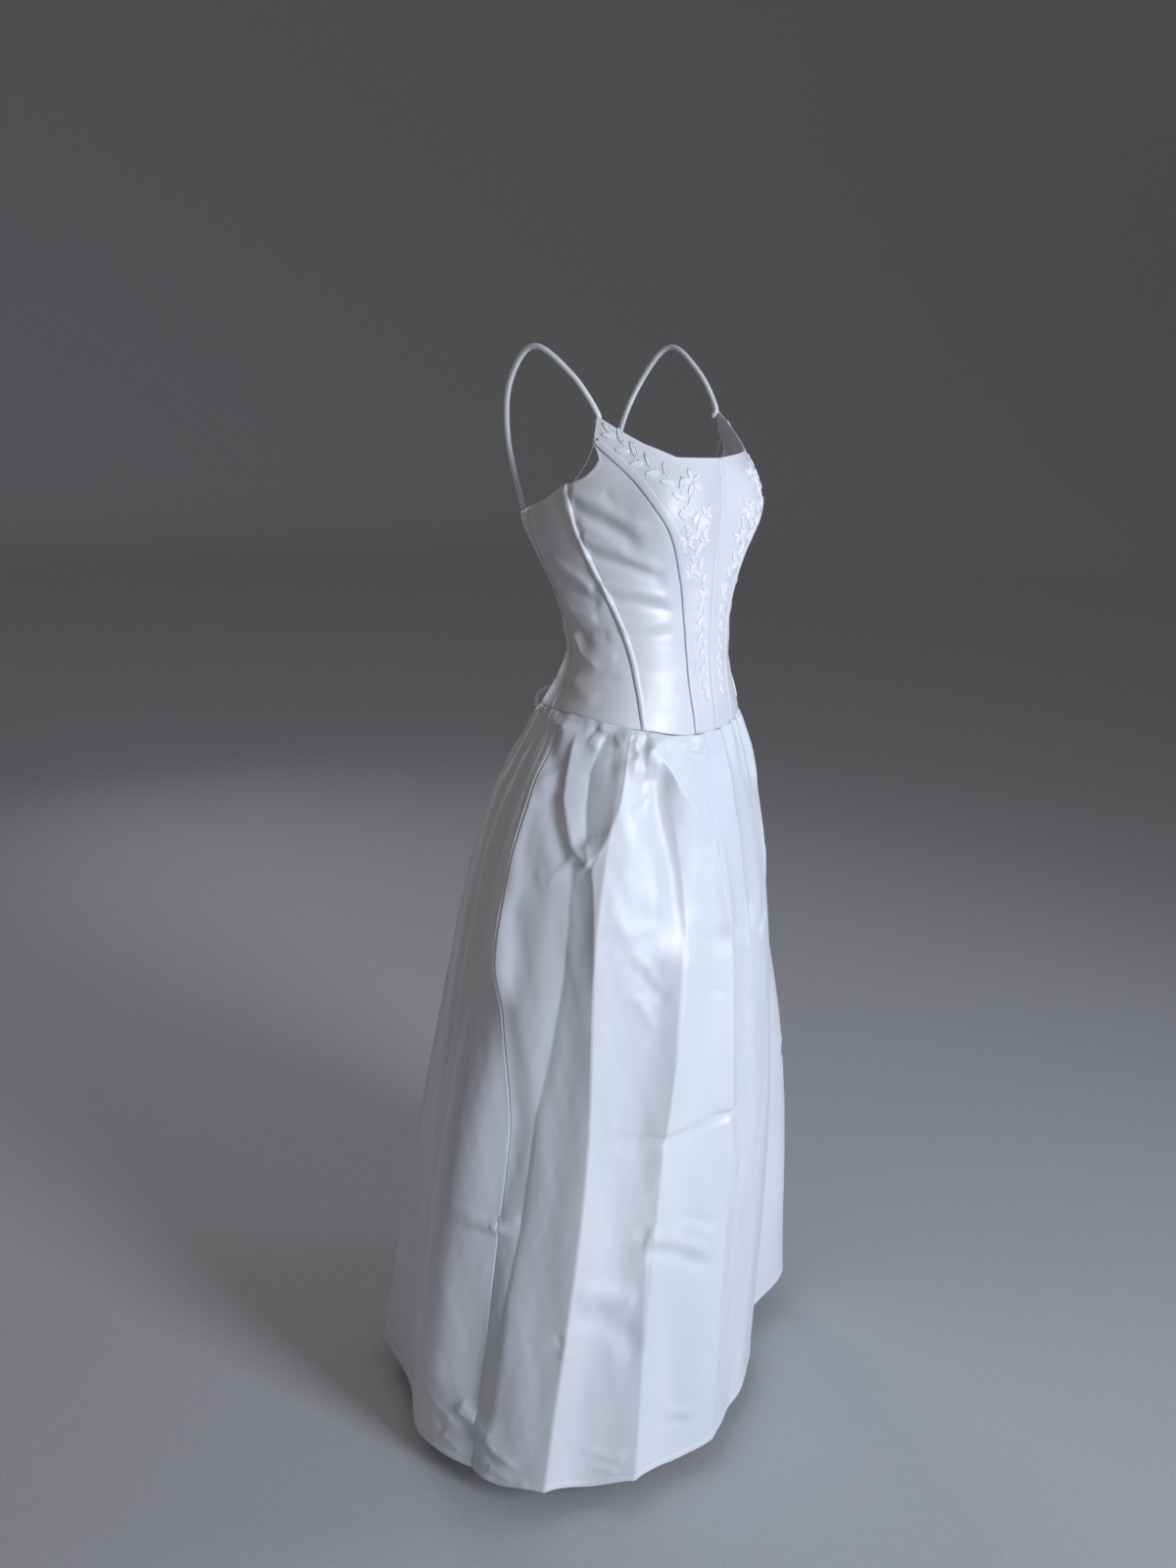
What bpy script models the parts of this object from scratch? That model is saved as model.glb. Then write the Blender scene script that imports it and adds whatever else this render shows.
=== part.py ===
"""A laced, boned wedding dress with a gathered full-length skirt, as worn, hollow.

Metres, +Z up.  The origin lies midway between the tops of the two straps, where
the dress is held.  The front faces -Y and the wearer's right side is -X.
An angle round the body is 0 degrees at the centre front, 90 at the right side
and 180 at the centre back; the left side has negative angles.
"""
import math

import bmesh
import bpy
import numpy as np

for old in list(bpy.data.objects):
    bpy.data.objects.remove(old, do_unlink=True)

# Walls and gaps
BODICE_WALL = 0.0020
SKIRT_WALL = 0.0015
SEAM_GAP = 0.0004
WAIST_GAP = 0.0005
BODICE_ROWS = 14
SKIRT_ROWS = 16
COLUMNS_PER_FOLD = 5

# Form of the dress at each height, with the columns z, half width, and y of the
# centre front, of the centre back and of the widest point at the sides
BODY = np.array([
    (-0.060, 0.141, -0.122, 0.050, -0.050),
    (-0.073, 0.143, -0.136, 0.055, -0.052),
    (-0.118, 0.148, -0.166, 0.066, -0.058),
    (-0.150, 0.151, -0.170, 0.071, -0.060),
    (-0.172, 0.151, -0.170, 0.074, -0.060),
    (-0.197, 0.149, -0.169, 0.075, -0.060),
    (-0.238, 0.141, -0.167, 0.052, -0.062),
    (-0.282, 0.131, -0.168, 0.023, -0.067),
    (-0.326, 0.123, -0.168, 0.008, -0.073),
    (-0.352, 0.121, -0.169, 0.005, -0.075),
    (-0.388, 0.127, -0.173, 0.016, -0.072),
    (-0.424, 0.143, -0.180, 0.036, -0.068),
    (-0.450, 0.155, -0.184, 0.047, -0.066),
    (-0.500, 0.174, -0.198, 0.076, -0.060),
    (-0.599, 0.203, -0.217, 0.118, -0.048),
    (-0.713, 0.226, -0.232, 0.150, -0.042),
    (-0.868, 0.251, -0.246, 0.180, -0.036),
    (-1.019, 0.273, -0.256, 0.208, -0.030),
    (-1.186, 0.292, -0.262, 0.235, -0.022),
    (-1.324, 0.303, -0.266, 0.256, -0.014),
    (-1.413, 0.308, -0.268, 0.265, -0.010),
])
# The back is a squarish oval down to the waist and a plain one over the skirt
BACK_SQUARENESS = 2.35
SQUARE_DOWN_TO = -0.40
SQUARE_FADES_OVER = 0.30

# Soft cups of the bodice: how far they stand out, their place and their reach
CUP_DEPTH = 0.027
CUP_ANGLE = 32.0
CUP_REACH_ANGLE = 23.0
CUP_Z = -0.176
CUP_REACH_UP = 0.052
CUP_REACH_DOWN = 0.075

# Upper edge of the bodice, as angle and height: neckline, strap points,
# armholes and back
TOP_EDGE = np.array([
    (0.0, -0.1190),
    (34.0, -0.1150),
    (68.5, -0.0710),
    (75.2, -0.1000),
    (80.0, -0.1190),
    (87.4, -0.1390),
    (94.3, -0.1530),
    (103.6, -0.1680),
    (112.0, -0.1770),
    (128.0, -0.1890),
    (146.0, -0.1960),
    (165.0, -0.1990),
    (180.0, -0.2000),
])
# Waist seam, where the skirt is joined, as angle and height
WAIST_EDGE = np.array([
    (0.0, -0.4460),
    (17.0, -0.4450),
    (48.0, -0.4330),
    (68.0, -0.4250),
    (92.0, -0.4200),
    (110.0, -0.4210),
    (140.0, -0.4260),
    (180.0, -0.4300),
])
HEM_Z = -1.4130

# Seams of the right half: height and angle
PRINCESS_SEAM = np.array([
    (-0.1000, 75.2),
    (-0.1150, 66.8),
    (-0.1290, 58.8),
    (-0.1460, 50.6),
    (-0.1680, 43.2),
    (-0.1950, 36.2),
    (-0.2330, 30.7),
    (-0.2750, 27.0),
    (-0.3260, 24.3),
    (-0.3760, 21.8),
    (-0.4450, 17.1),
])
SIDE_FRONT_SEAM = np.array([
    (-0.1500, 92.8),
    (-0.1660, 91.6),
    (-0.1870, 88.8),
    (-0.2110, 84.2),
    (-0.2410, 78.2),
    (-0.2700, 72.4),
    (-0.3140, 64.9),
    (-0.3620, 58.0),
    (-0.3920, 53.2),
    (-0.4330, 46.9),
])
SIDE_BACK_SEAM = np.array([
    (-0.1840, 121.0),
    (-0.2400, 121.0),
    (-0.3000, 118.5),
    (-0.3600, 115.0),
    (-0.4230, 111.0),
])
BACK_EDGE = np.array([
    (-0.1980, 161.0),
    (-0.2500, 160.5),
    (-0.3000, 160.0),
    (-0.3600, 160.5),
    (-0.4280, 163.0),
])
CENTRE_FRONT = np.array([
    (-0.1190, 0.0),
    (-0.4460, 0.0),
])

# Boning channels: width and height of each kind
FLAT_CHANNEL_WIDTH = 0.0100
FLAT_CHANNEL_HEIGHT = 0.0014
FLAT_CHANNEL_INSET = 0.0006
CORD_CHANNEL_WIDTH = 0.0075
CORD_CHANNEL_HEIGHT = 0.0030
CENTRE_CHANNEL_WIDTH = 0.0100
CENTRE_CHANNEL_HEIGHT = 0.0010
CHANNEL_GAP = 0.0006
# Places across a channel, and its height there when flat and when round
CHANNEL_SPREAD = np.array([0.0, 0.08, 0.32, 0.68, 0.92, 1.0])
CHANNEL_FLAT = np.array([0.4, 0.9, 1.0, 1.0, 0.9, 0.4])
CHANNEL_ROUND = np.array([0.25, 0.62, 1.0, 1.0, 0.62, 0.25])

# Columns of the panels: a distance from the first or the last seam, where a
# channel's edge lies, or shares of the way at the top and at the waist
FRONT_COLUMNS = (
    ("share", 0.0, 0.0),
    ("from_first", CENTRE_CHANNEL_WIDTH / 2, 0.0),
    ("share", 0.190, 0.23),
    ("share", 0.366, 0.34),
    ("share", 0.520, 0.45),
    ("share", 0.680, 0.56),
    ("share", 0.842, 0.66),
    ("from_last", FLAT_CHANNEL_WIDTH + FLAT_CHANNEL_INSET, 0.0),
    ("from_last", FLAT_CHANNEL_INSET, 0.0),
    ("share", 1.0, 1.0),
)
SIDE_FRONT_COLUMNS = (
    ("share", 0.0, 0.0),
    ("share", 0.18, 0.18),
    ("share", 0.36, 0.36),
    ("share", 0.54, 0.54),
    ("share", 0.72, 0.72),
    ("from_last", CORD_CHANNEL_WIDTH / 2, 0.0),
    ("share", 1.0, 1.0),
)
SIDE_BACK_COLUMNS = (
    ("share", 0.0, 0.0),
    ("from_first", CORD_CHANNEL_WIDTH / 2, 0.0),
    ("share", 0.20, 0.16),
    ("share", 0.35, 0.33),
    ("share", 0.50, 0.50),
    ("share", 0.65, 0.67),
    ("share", 0.80, 0.84),
    ("from_last", FLAT_CHANNEL_WIDTH / 2, 0.0),
    ("share", 1.0, 1.0),
)
BACK_COLUMNS = (
    ("share", 0.0, 0.0),
    ("from_first", FLAT_CHANNEL_WIDTH / 2, 0.0),
    ("share", 0.30, 0.30),
    ("share", 0.54, 0.54),
    ("share", 0.78, 0.78),
    ("share", 1.0, 1.0),
)
ROW_SAMPLES = 121
SEAM_SAMPLES = 400
LEAST_SLANT_SINE = 0.3

# Folds of the skirt, one row for each ridge or valley.  The first four columns
# are its angles at the four heights and the next four its outward offsets there
# in millimetres.  Then come the lift of the hem there in millimetres, and whether
# the line is a sharp crease (1) or round (0).
FOLD_HEIGHTS = np.array([-0.45, -0.68, -0.95, -1.413])
FOLD_ANGLES = slice(0, 4)
FOLD_OUTS = slice(4, 8)
FOLD_HEM_LIFT = 8
FOLD_SHARP = 9
FOLDS = np.array([
    (-180.0, -180.0, -180.0, -180.0, 0.0, -4.0, -8.0, -15.0, 0.0, 0),
    (-163.0, -163.0, -162.0, -161.0, 0.0, 4.0, 10.0, 17.0, 0.0, 0),
    (-143.0, -142.0, -141.0, -141.0, 0.0, -4.0, -13.0, -26.0, 2.0, 0),
    (-120.0, -120.0, -119.0, -118.0, 0.0, 6.0, 14.0, 24.0, 4.0, 1),
    (-98.0, -95.0, -93.0, -92.0, 0.0, -3.0, -10.0, -25.0, 8.0, 0),
    (-72.0, -66.0, -60.0, -62.0, 0.0, 12.0, 38.0, 63.0, 20.0, 0),
    (-48.0, -46.0, -42.0, -44.0, 0.0, -2.0, -7.0, -32.0, 8.0, 0),
    (-30.0, -27.0, -26.0, -25.0, 0.0, 1.0, -4.0, -28.0, 3.0, 0),
    (-12.0, -9.0, -9.0, -8.0, 0.0, -2.0, -6.0, -22.0, 0.0, 0),
    (14.0, 8.5, 9.5, 10.0, 0.0, 4.0, 4.0, -5.0, 0.0, 1),
    (23.0, 17.0, 21.0, 24.0, 0.0, -2.0, -5.0, -8.0, 0.0, 0),
    (36.0, 26.0, 33.0, 36.5, 0.0, 3.0, 4.0, 6.0, 0.0, 1),
    (46.0, 42.0, 44.0, 49.0, 0.0, -3.0, -8.0, -8.0, 0.0, 0),
    (56.5, 58.5, 55.5, 60.0, 1.0, 6.0, 9.0, 13.0, 0.0, 1),
    (74.0, 70.0, 74.0, 76.0, 0.0, -4.0, -9.0, -6.0, 0.0, 0),
    (97.0, 96.0, 82.5, 86.0, 1.0, 4.0, 1.0, -12.0, 2.0, 1),
    (113.0, 112.0, 108.0, 108.0, 0.0, -4.0, -14.0, -34.0, 4.0, 0),
    (130.0, 130.0, 127.0, 126.0, 0.0, -3.0, -12.0, -36.0, 4.0, 0),
    (146.0, 146.0, 147.0, 148.0, 0.0, 0.0, -1.0, 9.0, 2.0, 1),
    (163.0, 163.0, 163.0, 164.0, 0.0, 0.0, -2.0, -4.0, 0.0, 0),
    (180.0, 180.0, 180.0, 180.0, 0.0, -4.0, -8.0, -15.0, 0.0, 0),
])
# Small gathers below the waist seam: they are deepest a little way down, fade
# out below, and every few are lower than the rest
GATHER_COUNT = 26
GATHER_DEPTH = 0.0024
GATHER_LENGTH = 0.075
GATHER_START = 0.25
GATHER_RISE = 3.0
GATHER_EVEN_SHARE = 0.65
GATHER_UNEVEN_RATE = 2.7
# The skirt's rows lie closer together near the waist
SKIRT_ROW_CROWDING = 1.18
# Side seams of the skirt, as columns of the folds' table
RIGHT_SIDE_SEAM = 15
LEFT_SIDE_SEAM = 4

# Straps, loops and lacing
CURVE_SAMPLES = 400
STRAP_DIAMETER = 0.0065
STRAP_POINTS = 16
STRAP_FRONT_ANGLE = 68.6
STRAP_FRONT_LIFT = 0.0030
STRAP_BACK_ANGLE = 141.0
STRAP_BACK_LIFT = 0.0016
# The left strap's points between its ends
STRAP_ROUTE = (
    (0.1385, -0.0490, -0.0260),
    (0.1456, 0.0000, 0.0033),
    (0.1400, 0.0385, -0.0400),
    (0.1190, 0.0560, -0.1080),
)
LOOP_HEIGHTS = (-0.218, -0.257, -0.296, -0.335, -0.374, -0.413)
LOOP_DIAMETER = 0.0034
LOOP_HALF_HEIGHT = 0.0085
LOOP_REACH = 0.0130
LOOP_LIFT = 0.0080
LOOP_POINTS = 9
LOOP_FOOT_GAP = 0.0010
LACE_DIAMETER = 0.0040
LACE_TURN_GAP = 0.0008
LACE_TURN_POINTS = 5
LACE_CROSSING_LIFT = 0.0030
LACE_DRIFT = 0.0015
KNOT_Z = -0.4290
KNOT_STANDOFF = 0.0170
KNOT_RADIUS = 0.0080
KNOT_GAP = 0.0008
BOW_OUT_WAY = (0.935, 0.35, -0.065)
BOW_BACK_WAY = (0.700, 0.35, -0.630)
# A bow loop's points, from the knot's centre
BOW_ROUTE = (
    (0.0250, 0.0080, 0.0010),
    (0.0420, 0.0100, -0.0050),
    (0.0455, 0.0105, -0.0180),
    (0.0330, 0.0100, -0.0210),
    (0.0180, 0.0070, -0.0150),
)
BOW_POINTS = 12
TAIL_LENGTHS = (0.185, 0.165)
TAIL_POINTS = 10
TAIL_WAY = (0.30, -0.20, -0.93)
TAIL_SPREAD = 0.0140
TAIL_CLEARANCE = 0.0060


def smooth(table, column, at):
    """Smooth curve through a table's rows, read at the given values."""
    order = np.argsort(table[:, 0])
    xs = table[order, 0]
    ys = table[order, column]
    at = np.clip(np.asarray(at, float), xs[0], xs[-1])
    steps = np.diff(xs)
    rises = np.diff(ys) / steps
    slopes = np.empty(len(xs))
    slopes[0] = rises[0]
    slopes[-1] = rises[-1]
    same = rises[:-1] * rises[1:] > 0
    weight_a = 2 * steps[1:] + steps[:-1]
    weight_b = steps[1:] + 2 * steps[:-1]
    safe_a = np.where(same, rises[:-1], 1.0)
    safe_b = np.where(same, rises[1:], 1.0)
    mean = (weight_a + weight_b) / (weight_a / safe_a + weight_b / safe_b)
    slopes[1:-1] = np.where(same, mean, 0.0)
    i = np.clip(np.searchsorted(xs, at, side="right") - 1, 0, len(xs) - 2)
    h = steps[i]
    t = (at - xs[i]) / h
    return ((1 + 2 * t) * (1 - t) ** 2 * ys[i] + t * (1 - t) ** 2 * h * slopes[i]
            + t * t * (3 - 2 * t) * ys[i + 1] + t * t * (t - 1) * h * slopes[i + 1])


def body_point(angle, z):
    """Outer surface of the dress form: two half ovals per height, with cups."""
    angle, z = np.broadcast_arrays(np.asarray(angle, float), np.asarray(z, float))
    half_width = smooth(BODY, 1, z)
    y_front = smooth(BODY, 2, z)
    y_back = smooth(BODY, 3, z)
    y_side = smooth(BODY, 4, z)
    turn = np.radians(angle)
    cosine = np.cos(turn)
    sine = np.sin(turn)
    round_below = np.clip((SQUARE_DOWN_TO - z) / SQUARE_FADES_OVER, 0.0, 1.0)
    squareness = BACK_SQUARENESS + (2.0 - BACK_SQUARENESS) * round_below
    power = np.where(cosine > 0, 1.0, 2.0 / squareness)
    x = -half_width * np.sign(sine) * np.abs(sine) ** power
    depth = np.where(cosine > 0, y_front, y_back) - y_side
    y = y_side + depth * np.abs(cosine) ** power
    reach = np.where(z > CUP_Z, CUP_REACH_UP, CUP_REACH_DOWN)
    across = (np.abs(angle) - CUP_ANGLE) / CUP_REACH_ANGLE
    cup = CUP_DEPTH * np.exp(-across ** 2 - ((z - CUP_Z) / reach) ** 2)
    out = np.stack([x, y - y_side], -1)
    out = out / np.linalg.norm(out, axis=-1, keepdims=True)
    return np.stack([x + cup * out[..., 0], y + cup * out[..., 1], z], -1)


def level_normal(surface, across, z, step=0.2):
    """Horizontal outward direction of a surface of (across, z)."""
    side = surface(across + step, z) - surface(across - step, z)
    normal = np.stack([side[..., 1], -side[..., 0], np.zeros_like(z)], -1)
    normal = normal / np.linalg.norm(normal, axis=-1, keepdims=True)
    return -normal


def fold_lines(z):
    """Angle and outward offset of every fold line at each height."""
    angles = np.empty((len(FOLDS),) + z.shape)
    outs = np.empty((len(FOLDS),) + z.shape)
    for row, fold in enumerate(FOLDS):
        angles[row] = smooth(np.column_stack([FOLD_HEIGHTS, fold[FOLD_ANGLES]]), 1, z)
        outs[row] = smooth(np.column_stack([FOLD_HEIGHTS, fold[FOLD_OUTS]]), 1, z) / 1000.0
    return angles, outs


def skirt_point(place, z):
    """Outer surface of the skirt.  place counts the fold lines from 0."""
    place, z = np.broadcast_arrays(np.asarray(place, float), np.asarray(z, float))
    last = len(FOLDS) - 1
    wrapped = np.mod(place, last)
    low = np.minimum(wrapped.astype(int), last - 1)
    share = wrapped - low
    angles, outs = fold_lines(z)
    pick = np.expand_dims(low, 0)
    angle_a = np.take_along_axis(angles, pick, 0)[0]
    angle_b = np.take_along_axis(angles, pick + 1, 0)[0]
    out_a = np.take_along_axis(outs, pick, 0)[0]
    out_b = np.take_along_axis(outs, pick + 1, 0)[0]
    sharp_a = FOLDS[low, FOLD_SHARP] > 0
    sharp_b = FOLDS[low + 1, FOLD_SHARP] > 0
    quarter = share * math.pi / 2
    blend = np.where(sharp_a, np.where(sharp_b, share, np.sin(quarter)),
                     np.where(sharp_b, 1 - np.cos(quarter), (1 - np.cos(2 * quarter)) / 2))
    angle = angle_a + (angle_b - angle_a) * share
    out = out_a + (out_b - out_a) * blend
    top = waist_height(angle)
    down = np.clip((top - z) / GATHER_LENGTH, 0.0, 1.0)
    swell = (GATHER_START + GATHER_RISE * down) * (1 - down) ** 2
    wave = np.cos(2 * math.pi * GATHER_COUNT * wrapped / last)
    uneven = (1 - GATHER_EVEN_SHARE) * np.sin(wrapped * GATHER_UNEVEN_RATE)
    wave = wave * (GATHER_EVEN_SHARE + uneven)
    out = out + GATHER_DEPTH * swell * wave
    base = body_point(angle, z)
    centre = smooth(BODY, 4, z)
    away = np.stack([base[..., 0], base[..., 1] - centre], -1)
    away = away / np.linalg.norm(away, axis=-1, keepdims=True)
    x = base[..., 0] + out * away[..., 0]
    y = base[..., 1] + out * away[..., 1]
    return np.stack([x, y, z], -1)


def hem_height(place):
    """Height of the hem at a place counted in fold lines."""
    rows = np.arange(len(FOLDS))
    return HEM_Z + smooth(np.column_stack([rows, FOLDS[:, FOLD_HEM_LIFT]]), 1, place) / 1000.0


def waist_height(angle):
    """Height of the waist seam at an angle."""
    return smooth(WAIST_EDGE, 1, np.abs(angle))


def top_height(angle):
    """Height of the bodice's upper edge at an angle."""
    return np.interp(np.abs(angle), TOP_EDGE[:, 0], TOP_EDGE[:, 1])


def seam_ends(seam):
    """Angles at which a seam meets the upper edge and the waist seam."""
    zs = np.linspace(seam[:, 0].max(), seam[:, 0].min(), SEAM_SAMPLES)
    angles = smooth(seam, 1, zs)
    start = angles[np.argmin(np.abs(zs - top_height(angles)))]
    end = angles[np.argmin(np.abs(zs - waist_height(angles)))]
    return start, end


def finish(obj, colour, roughness, smooth_faces=True):
    """Give a piece its own material and collection."""
    material = bpy.data.materials.new("finish_" + obj.name)
    material.use_nodes = True
    shader = material.node_tree.nodes["Principled BSDF"]
    shader.inputs["Base Color"].default_value = colour
    shader.inputs["Roughness"].default_value = roughness
    shader.inputs["Metallic"].default_value = 0.0
    obj.data.materials.clear()
    obj.data.materials.append(material)
    if smooth_faces and obj.type == "MESH":
        obj.data.polygons.foreach_set("use_smooth", [True] * len(obj.data.polygons))
    return obj


collection = bpy.data.collections.new("wedding_dress")
bpy.context.scene.collection.children.link(collection)

BODICE_COLOUR = (0.80, 0.80, 0.82, 1.0)
SKIRT_COLOUR = (0.76, 0.80, 0.88, 1.0)
TRIM_COLOUR = (0.84, 0.84, 0.86, 1.0)
SATIN_ROUGHNESS = 0.38
TRIM_ROUGHNESS = 0.42


def tube_of_sections(name, sections, colour, roughness):
    """Closed loft through closed sections of equal point counts, capped.

    Each patch between two sections is split along its shorter diagonal, so two
    lofts that share a run of points also share their facets.
    """
    count, around = sections.shape[:2]
    verts = sections.reshape(-1, 3)
    row, col = np.meshgrid(np.arange(count - 1), np.arange(around), indexing="ij")
    nxt = (col + 1) % around
    a = (row * around + col).ravel()
    b = (row * around + nxt).ravel()
    c = ((row + 1) * around + nxt).ravel()
    d = ((row + 1) * around + col).ravel()
    length_ac = np.linalg.norm(verts[a] - verts[c], axis=1)
    length_bd = np.linalg.norm(verts[b] - verts[d], axis=1)
    short = length_ac < length_bd
    first = np.where(short[:, None], np.stack([a, b, c], -1), np.stack([a, b, d], -1))
    second = np.where(short[:, None], np.stack([a, c, d], -1), np.stack([b, c, d], -1))
    faces = [tuple(face) for face in np.concatenate([first, second]).tolist()]
    half = around // 2
    for base in (0, (count - 1) * around):
        for i in range(half - 1):
            faces.append((base + i, base + i + 1, base + around - 2 - i, base + around - 1 - i))
    mesh = bpy.data.meshes.new(name)
    mesh.from_pydata(verts.tolist(), [], faces)
    cleaner = bmesh.new()
    cleaner.from_mesh(mesh)
    bmesh.ops.recalc_face_normals(cleaner, faces=cleaner.faces)
    cleaner.to_mesh(mesh)
    cleaner.free()
    obj = bpy.data.objects.new(name, mesh)
    collection.objects.link(obj)
    return finish(obj, colour, roughness)


def wall(name, outer, inner, colour, roughness=SATIN_ROUGHNESS):
    """Closed cloth wall: outer points across and inner points back, per row."""
    sections = np.concatenate([outer, inner[:, ::-1]], axis=1)
    return tube_of_sections(name, sections, colour, roughness)


def panel_grid(seam_a, seam_b, columns, gap_first=True, gap_last=True):
    """Angles and heights of a panel's points, from its upper edge to the waist.

    columns holds, per column, a distance from the first seam, a distance back
    from the second seam, or shares of the row's length at the top and the bottom.
    """
    rows = np.linspace(0.0, 1.0, BODICE_ROWS + 1)
    fine = np.linspace(0.0, 1.0, ROW_SAMPLES)
    start_a, end_a = seam_ends(seam_a)
    start_b, end_b = seam_ends(seam_b)
    top = top_height(start_a + (start_b - start_a) * fine)
    bottom = waist_height(end_a + (end_b - end_a) * fine) + WAIST_GAP / 2
    zs = top[None, :] + (bottom - top)[None, :] * rows[:, None]
    angle_a = smooth(seam_a, 1, zs)
    angle_b = smooth(seam_b, 1, zs)
    angle = angle_a + (angle_b - angle_a) * fine[None, :]
    points = body_point(angle, zs)
    runs = np.linalg.norm(np.diff(points, axis=1), axis=-1)
    runs = np.concatenate([np.zeros((len(runs), 1)), np.cumsum(runs, axis=1)], axis=1)
    stretch_a = strip_stretch(points[:, 0], points[:, 1])
    stretch_b = strip_stretch(points[:, -1], points[:, -2])
    length = runs[:, -1]
    picked = []
    for kind, near_top, near_bottom in columns:
        if kind == "from_first":
            at = near_top * stretch_a
        elif kind == "from_last":
            at = length - near_top * stretch_b
        else:
            at = length * (near_top + (near_bottom - near_top) * rows)
        picked.append(np.clip(at, 0.0, length))
    picked = np.stack(picked, 1)
    if gap_first:
        picked[:, 0] += SEAM_GAP / 2 * stretch_a
    if gap_last:
        picked[:, -1] -= SEAM_GAP / 2 * stretch_b
    pairs = range(len(rows))
    out_angle = np.stack([np.interp(picked[row], runs[row], angle[row]) for row in pairs])
    out_z = np.stack([np.interp(picked[row], runs[row], zs[row]) for row in pairs])
    return out_angle, out_z


def strip_stretch(seam_points, beside):
    """How much longer a strip's width runs along the rows than square to a seam."""
    along = np.gradient(seam_points, axis=0)
    along = along / np.linalg.norm(along, axis=-1, keepdims=True)
    row_way = beside - seam_points
    row_way = row_way / np.linalg.norm(row_way, axis=-1, keepdims=True)
    sine = np.linalg.norm(np.cross(along, row_way), axis=-1)
    return 1.0 / np.maximum(sine, LEAST_SLANT_SINE)


def bodice_wall(name, angle, zs):
    """A bodice panel's wall on the dress form."""
    outer = body_point(angle, zs)
    inner = outer - BODICE_WALL * level_normal(body_point, angle, zs)
    return wall(name, outer, inner, BODICE_COLOUR)


def mirrored_row(grid):
    """Both halves of the points across a row, left half first."""
    angle, zs = grid
    return (np.concatenate([-angle[:, :0:-1], angle], axis=1),
            np.concatenate([zs[:, :0:-1], zs], axis=1))


def channel(name, line, first, last, height, arch):
    """A boning channel on the panels: a low strip, flat (arch 0) or round (1).

    line holds the angles, heights and points across each row of the bodice. The
    strip runs from one of its columns to another, so it lies on the panels' faces.
    """
    angles, zs, points = line
    profile = (1 - arch) * CHANNEL_FLAT + arch * CHANNEL_ROUND
    runs = np.linalg.norm(np.diff(points, axis=1), axis=-1)
    runs = np.concatenate([np.zeros((len(runs), 1)), np.cumsum(runs, axis=1)], axis=1)
    raised = np.empty((len(points), len(CHANNEL_SPREAD), 3))
    under = np.empty((len(points), len(CHANNEL_SPREAD), 3))
    for row in range(len(points)):
        at = runs[row, first] + (runs[row, last] - runs[row, first]) * CHANNEL_SPREAD
        angle = np.interp(at, runs[row], angles[row])
        height_here = np.interp(at, runs[row], zs[row])
        base = np.stack([np.interp(at, runs[row], points[row, :, axis]) for axis in range(3)], -1)
        normal = level_normal(body_point, angle, height_here)
        raised[row] = base + normal * (CHANNEL_GAP + height * profile[:, None])
        under[row] = base + normal * CHANNEL_GAP
    return wall(name, raised, under[:, [0, -1]], BODICE_COLOUR)


def skirt_panel(name, first, last):
    """A panel of the skirt from one fold line to another."""
    count = (last - first) * COLUMNS_PER_FOLD
    place = np.linspace(first, last, count + 1)
    rows = np.linspace(0.0, 1.0, SKIRT_ROWS + 1) ** SKIRT_ROW_CROWDING
    angles, _ = fold_lines(np.array([FOLD_HEIGHTS[0]]))
    lines = np.concatenate([angles[:-1, 0], angles[1:, 0] + 360.0])
    top_angle = np.interp(place, np.arange(len(lines)), lines)
    top = waist_height((top_angle + 180.0) % 360.0 - 180.0) - WAIST_GAP / 2
    zs = top[None, :] + (hem_height(place) - top)[None, :] * rows[:, None]
    grid = np.repeat(place[None, :], len(rows), 0)
    outer = skirt_point(grid, zs)
    normal = level_normal(skirt_point, grid, zs, 0.02)
    for column, sign in ((0, 1.0), (-1, -1.0)):
        along = outer[:, column + int(sign)] - outer[:, column]
        along = along / np.linalg.norm(along, axis=-1, keepdims=True)
        outer[:, column] += along * SEAM_GAP / 2
    inner = outer - SKIRT_WALL * normal
    return wall(name, outer, inner, SKIRT_COLOUR)


def through_points(route, count):
    """Evenly spaced points of a smooth curve through a route's points."""
    route = np.array(route, float)
    lengths = np.linalg.norm(np.diff(route, axis=0), axis=1)
    at = np.concatenate([[0.0], np.cumsum(lengths)])
    fine = np.linspace(0.0, at[-1], CURVE_SAMPLES)
    dense = np.stack([natural_curve(at, route[:, axis], fine) for axis in range(3)], -1)
    run = np.linalg.norm(np.diff(dense, axis=0), axis=1)
    run = np.concatenate([[0.0], np.cumsum(run)])
    want = np.linspace(0.0, run[-1], count)
    return np.stack([np.interp(want, run, dense[:, axis]) for axis in range(3)], -1)


def natural_curve(xs, ys, at):
    """Natural cubic spline through the points, read at the given values."""
    n = len(xs)
    h = np.diff(xs)
    matrix = np.eye(n)
    right = np.zeros(n)
    for i in range(1, n - 1):
        matrix[i, i - 1] = h[i - 1]
        matrix[i, i] = 2 * (h[i - 1] + h[i])
        matrix[i, i + 1] = h[i]
        right[i] = 6 * ((ys[i + 1] - ys[i]) / h[i] - (ys[i] - ys[i - 1]) / h[i - 1])
    bend = np.linalg.solve(matrix, right)
    i = np.clip(np.searchsorted(xs, at, side="right") - 1, 0, n - 2)
    a = (xs[i + 1] - at) / h[i]
    b = (at - xs[i]) / h[i]
    return (a * ys[i] + b * ys[i + 1]
            + ((a ** 3 - a) * bend[i] + (b ** 3 - b) * bend[i + 1]) * h[i] ** 2 / 6)


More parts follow.
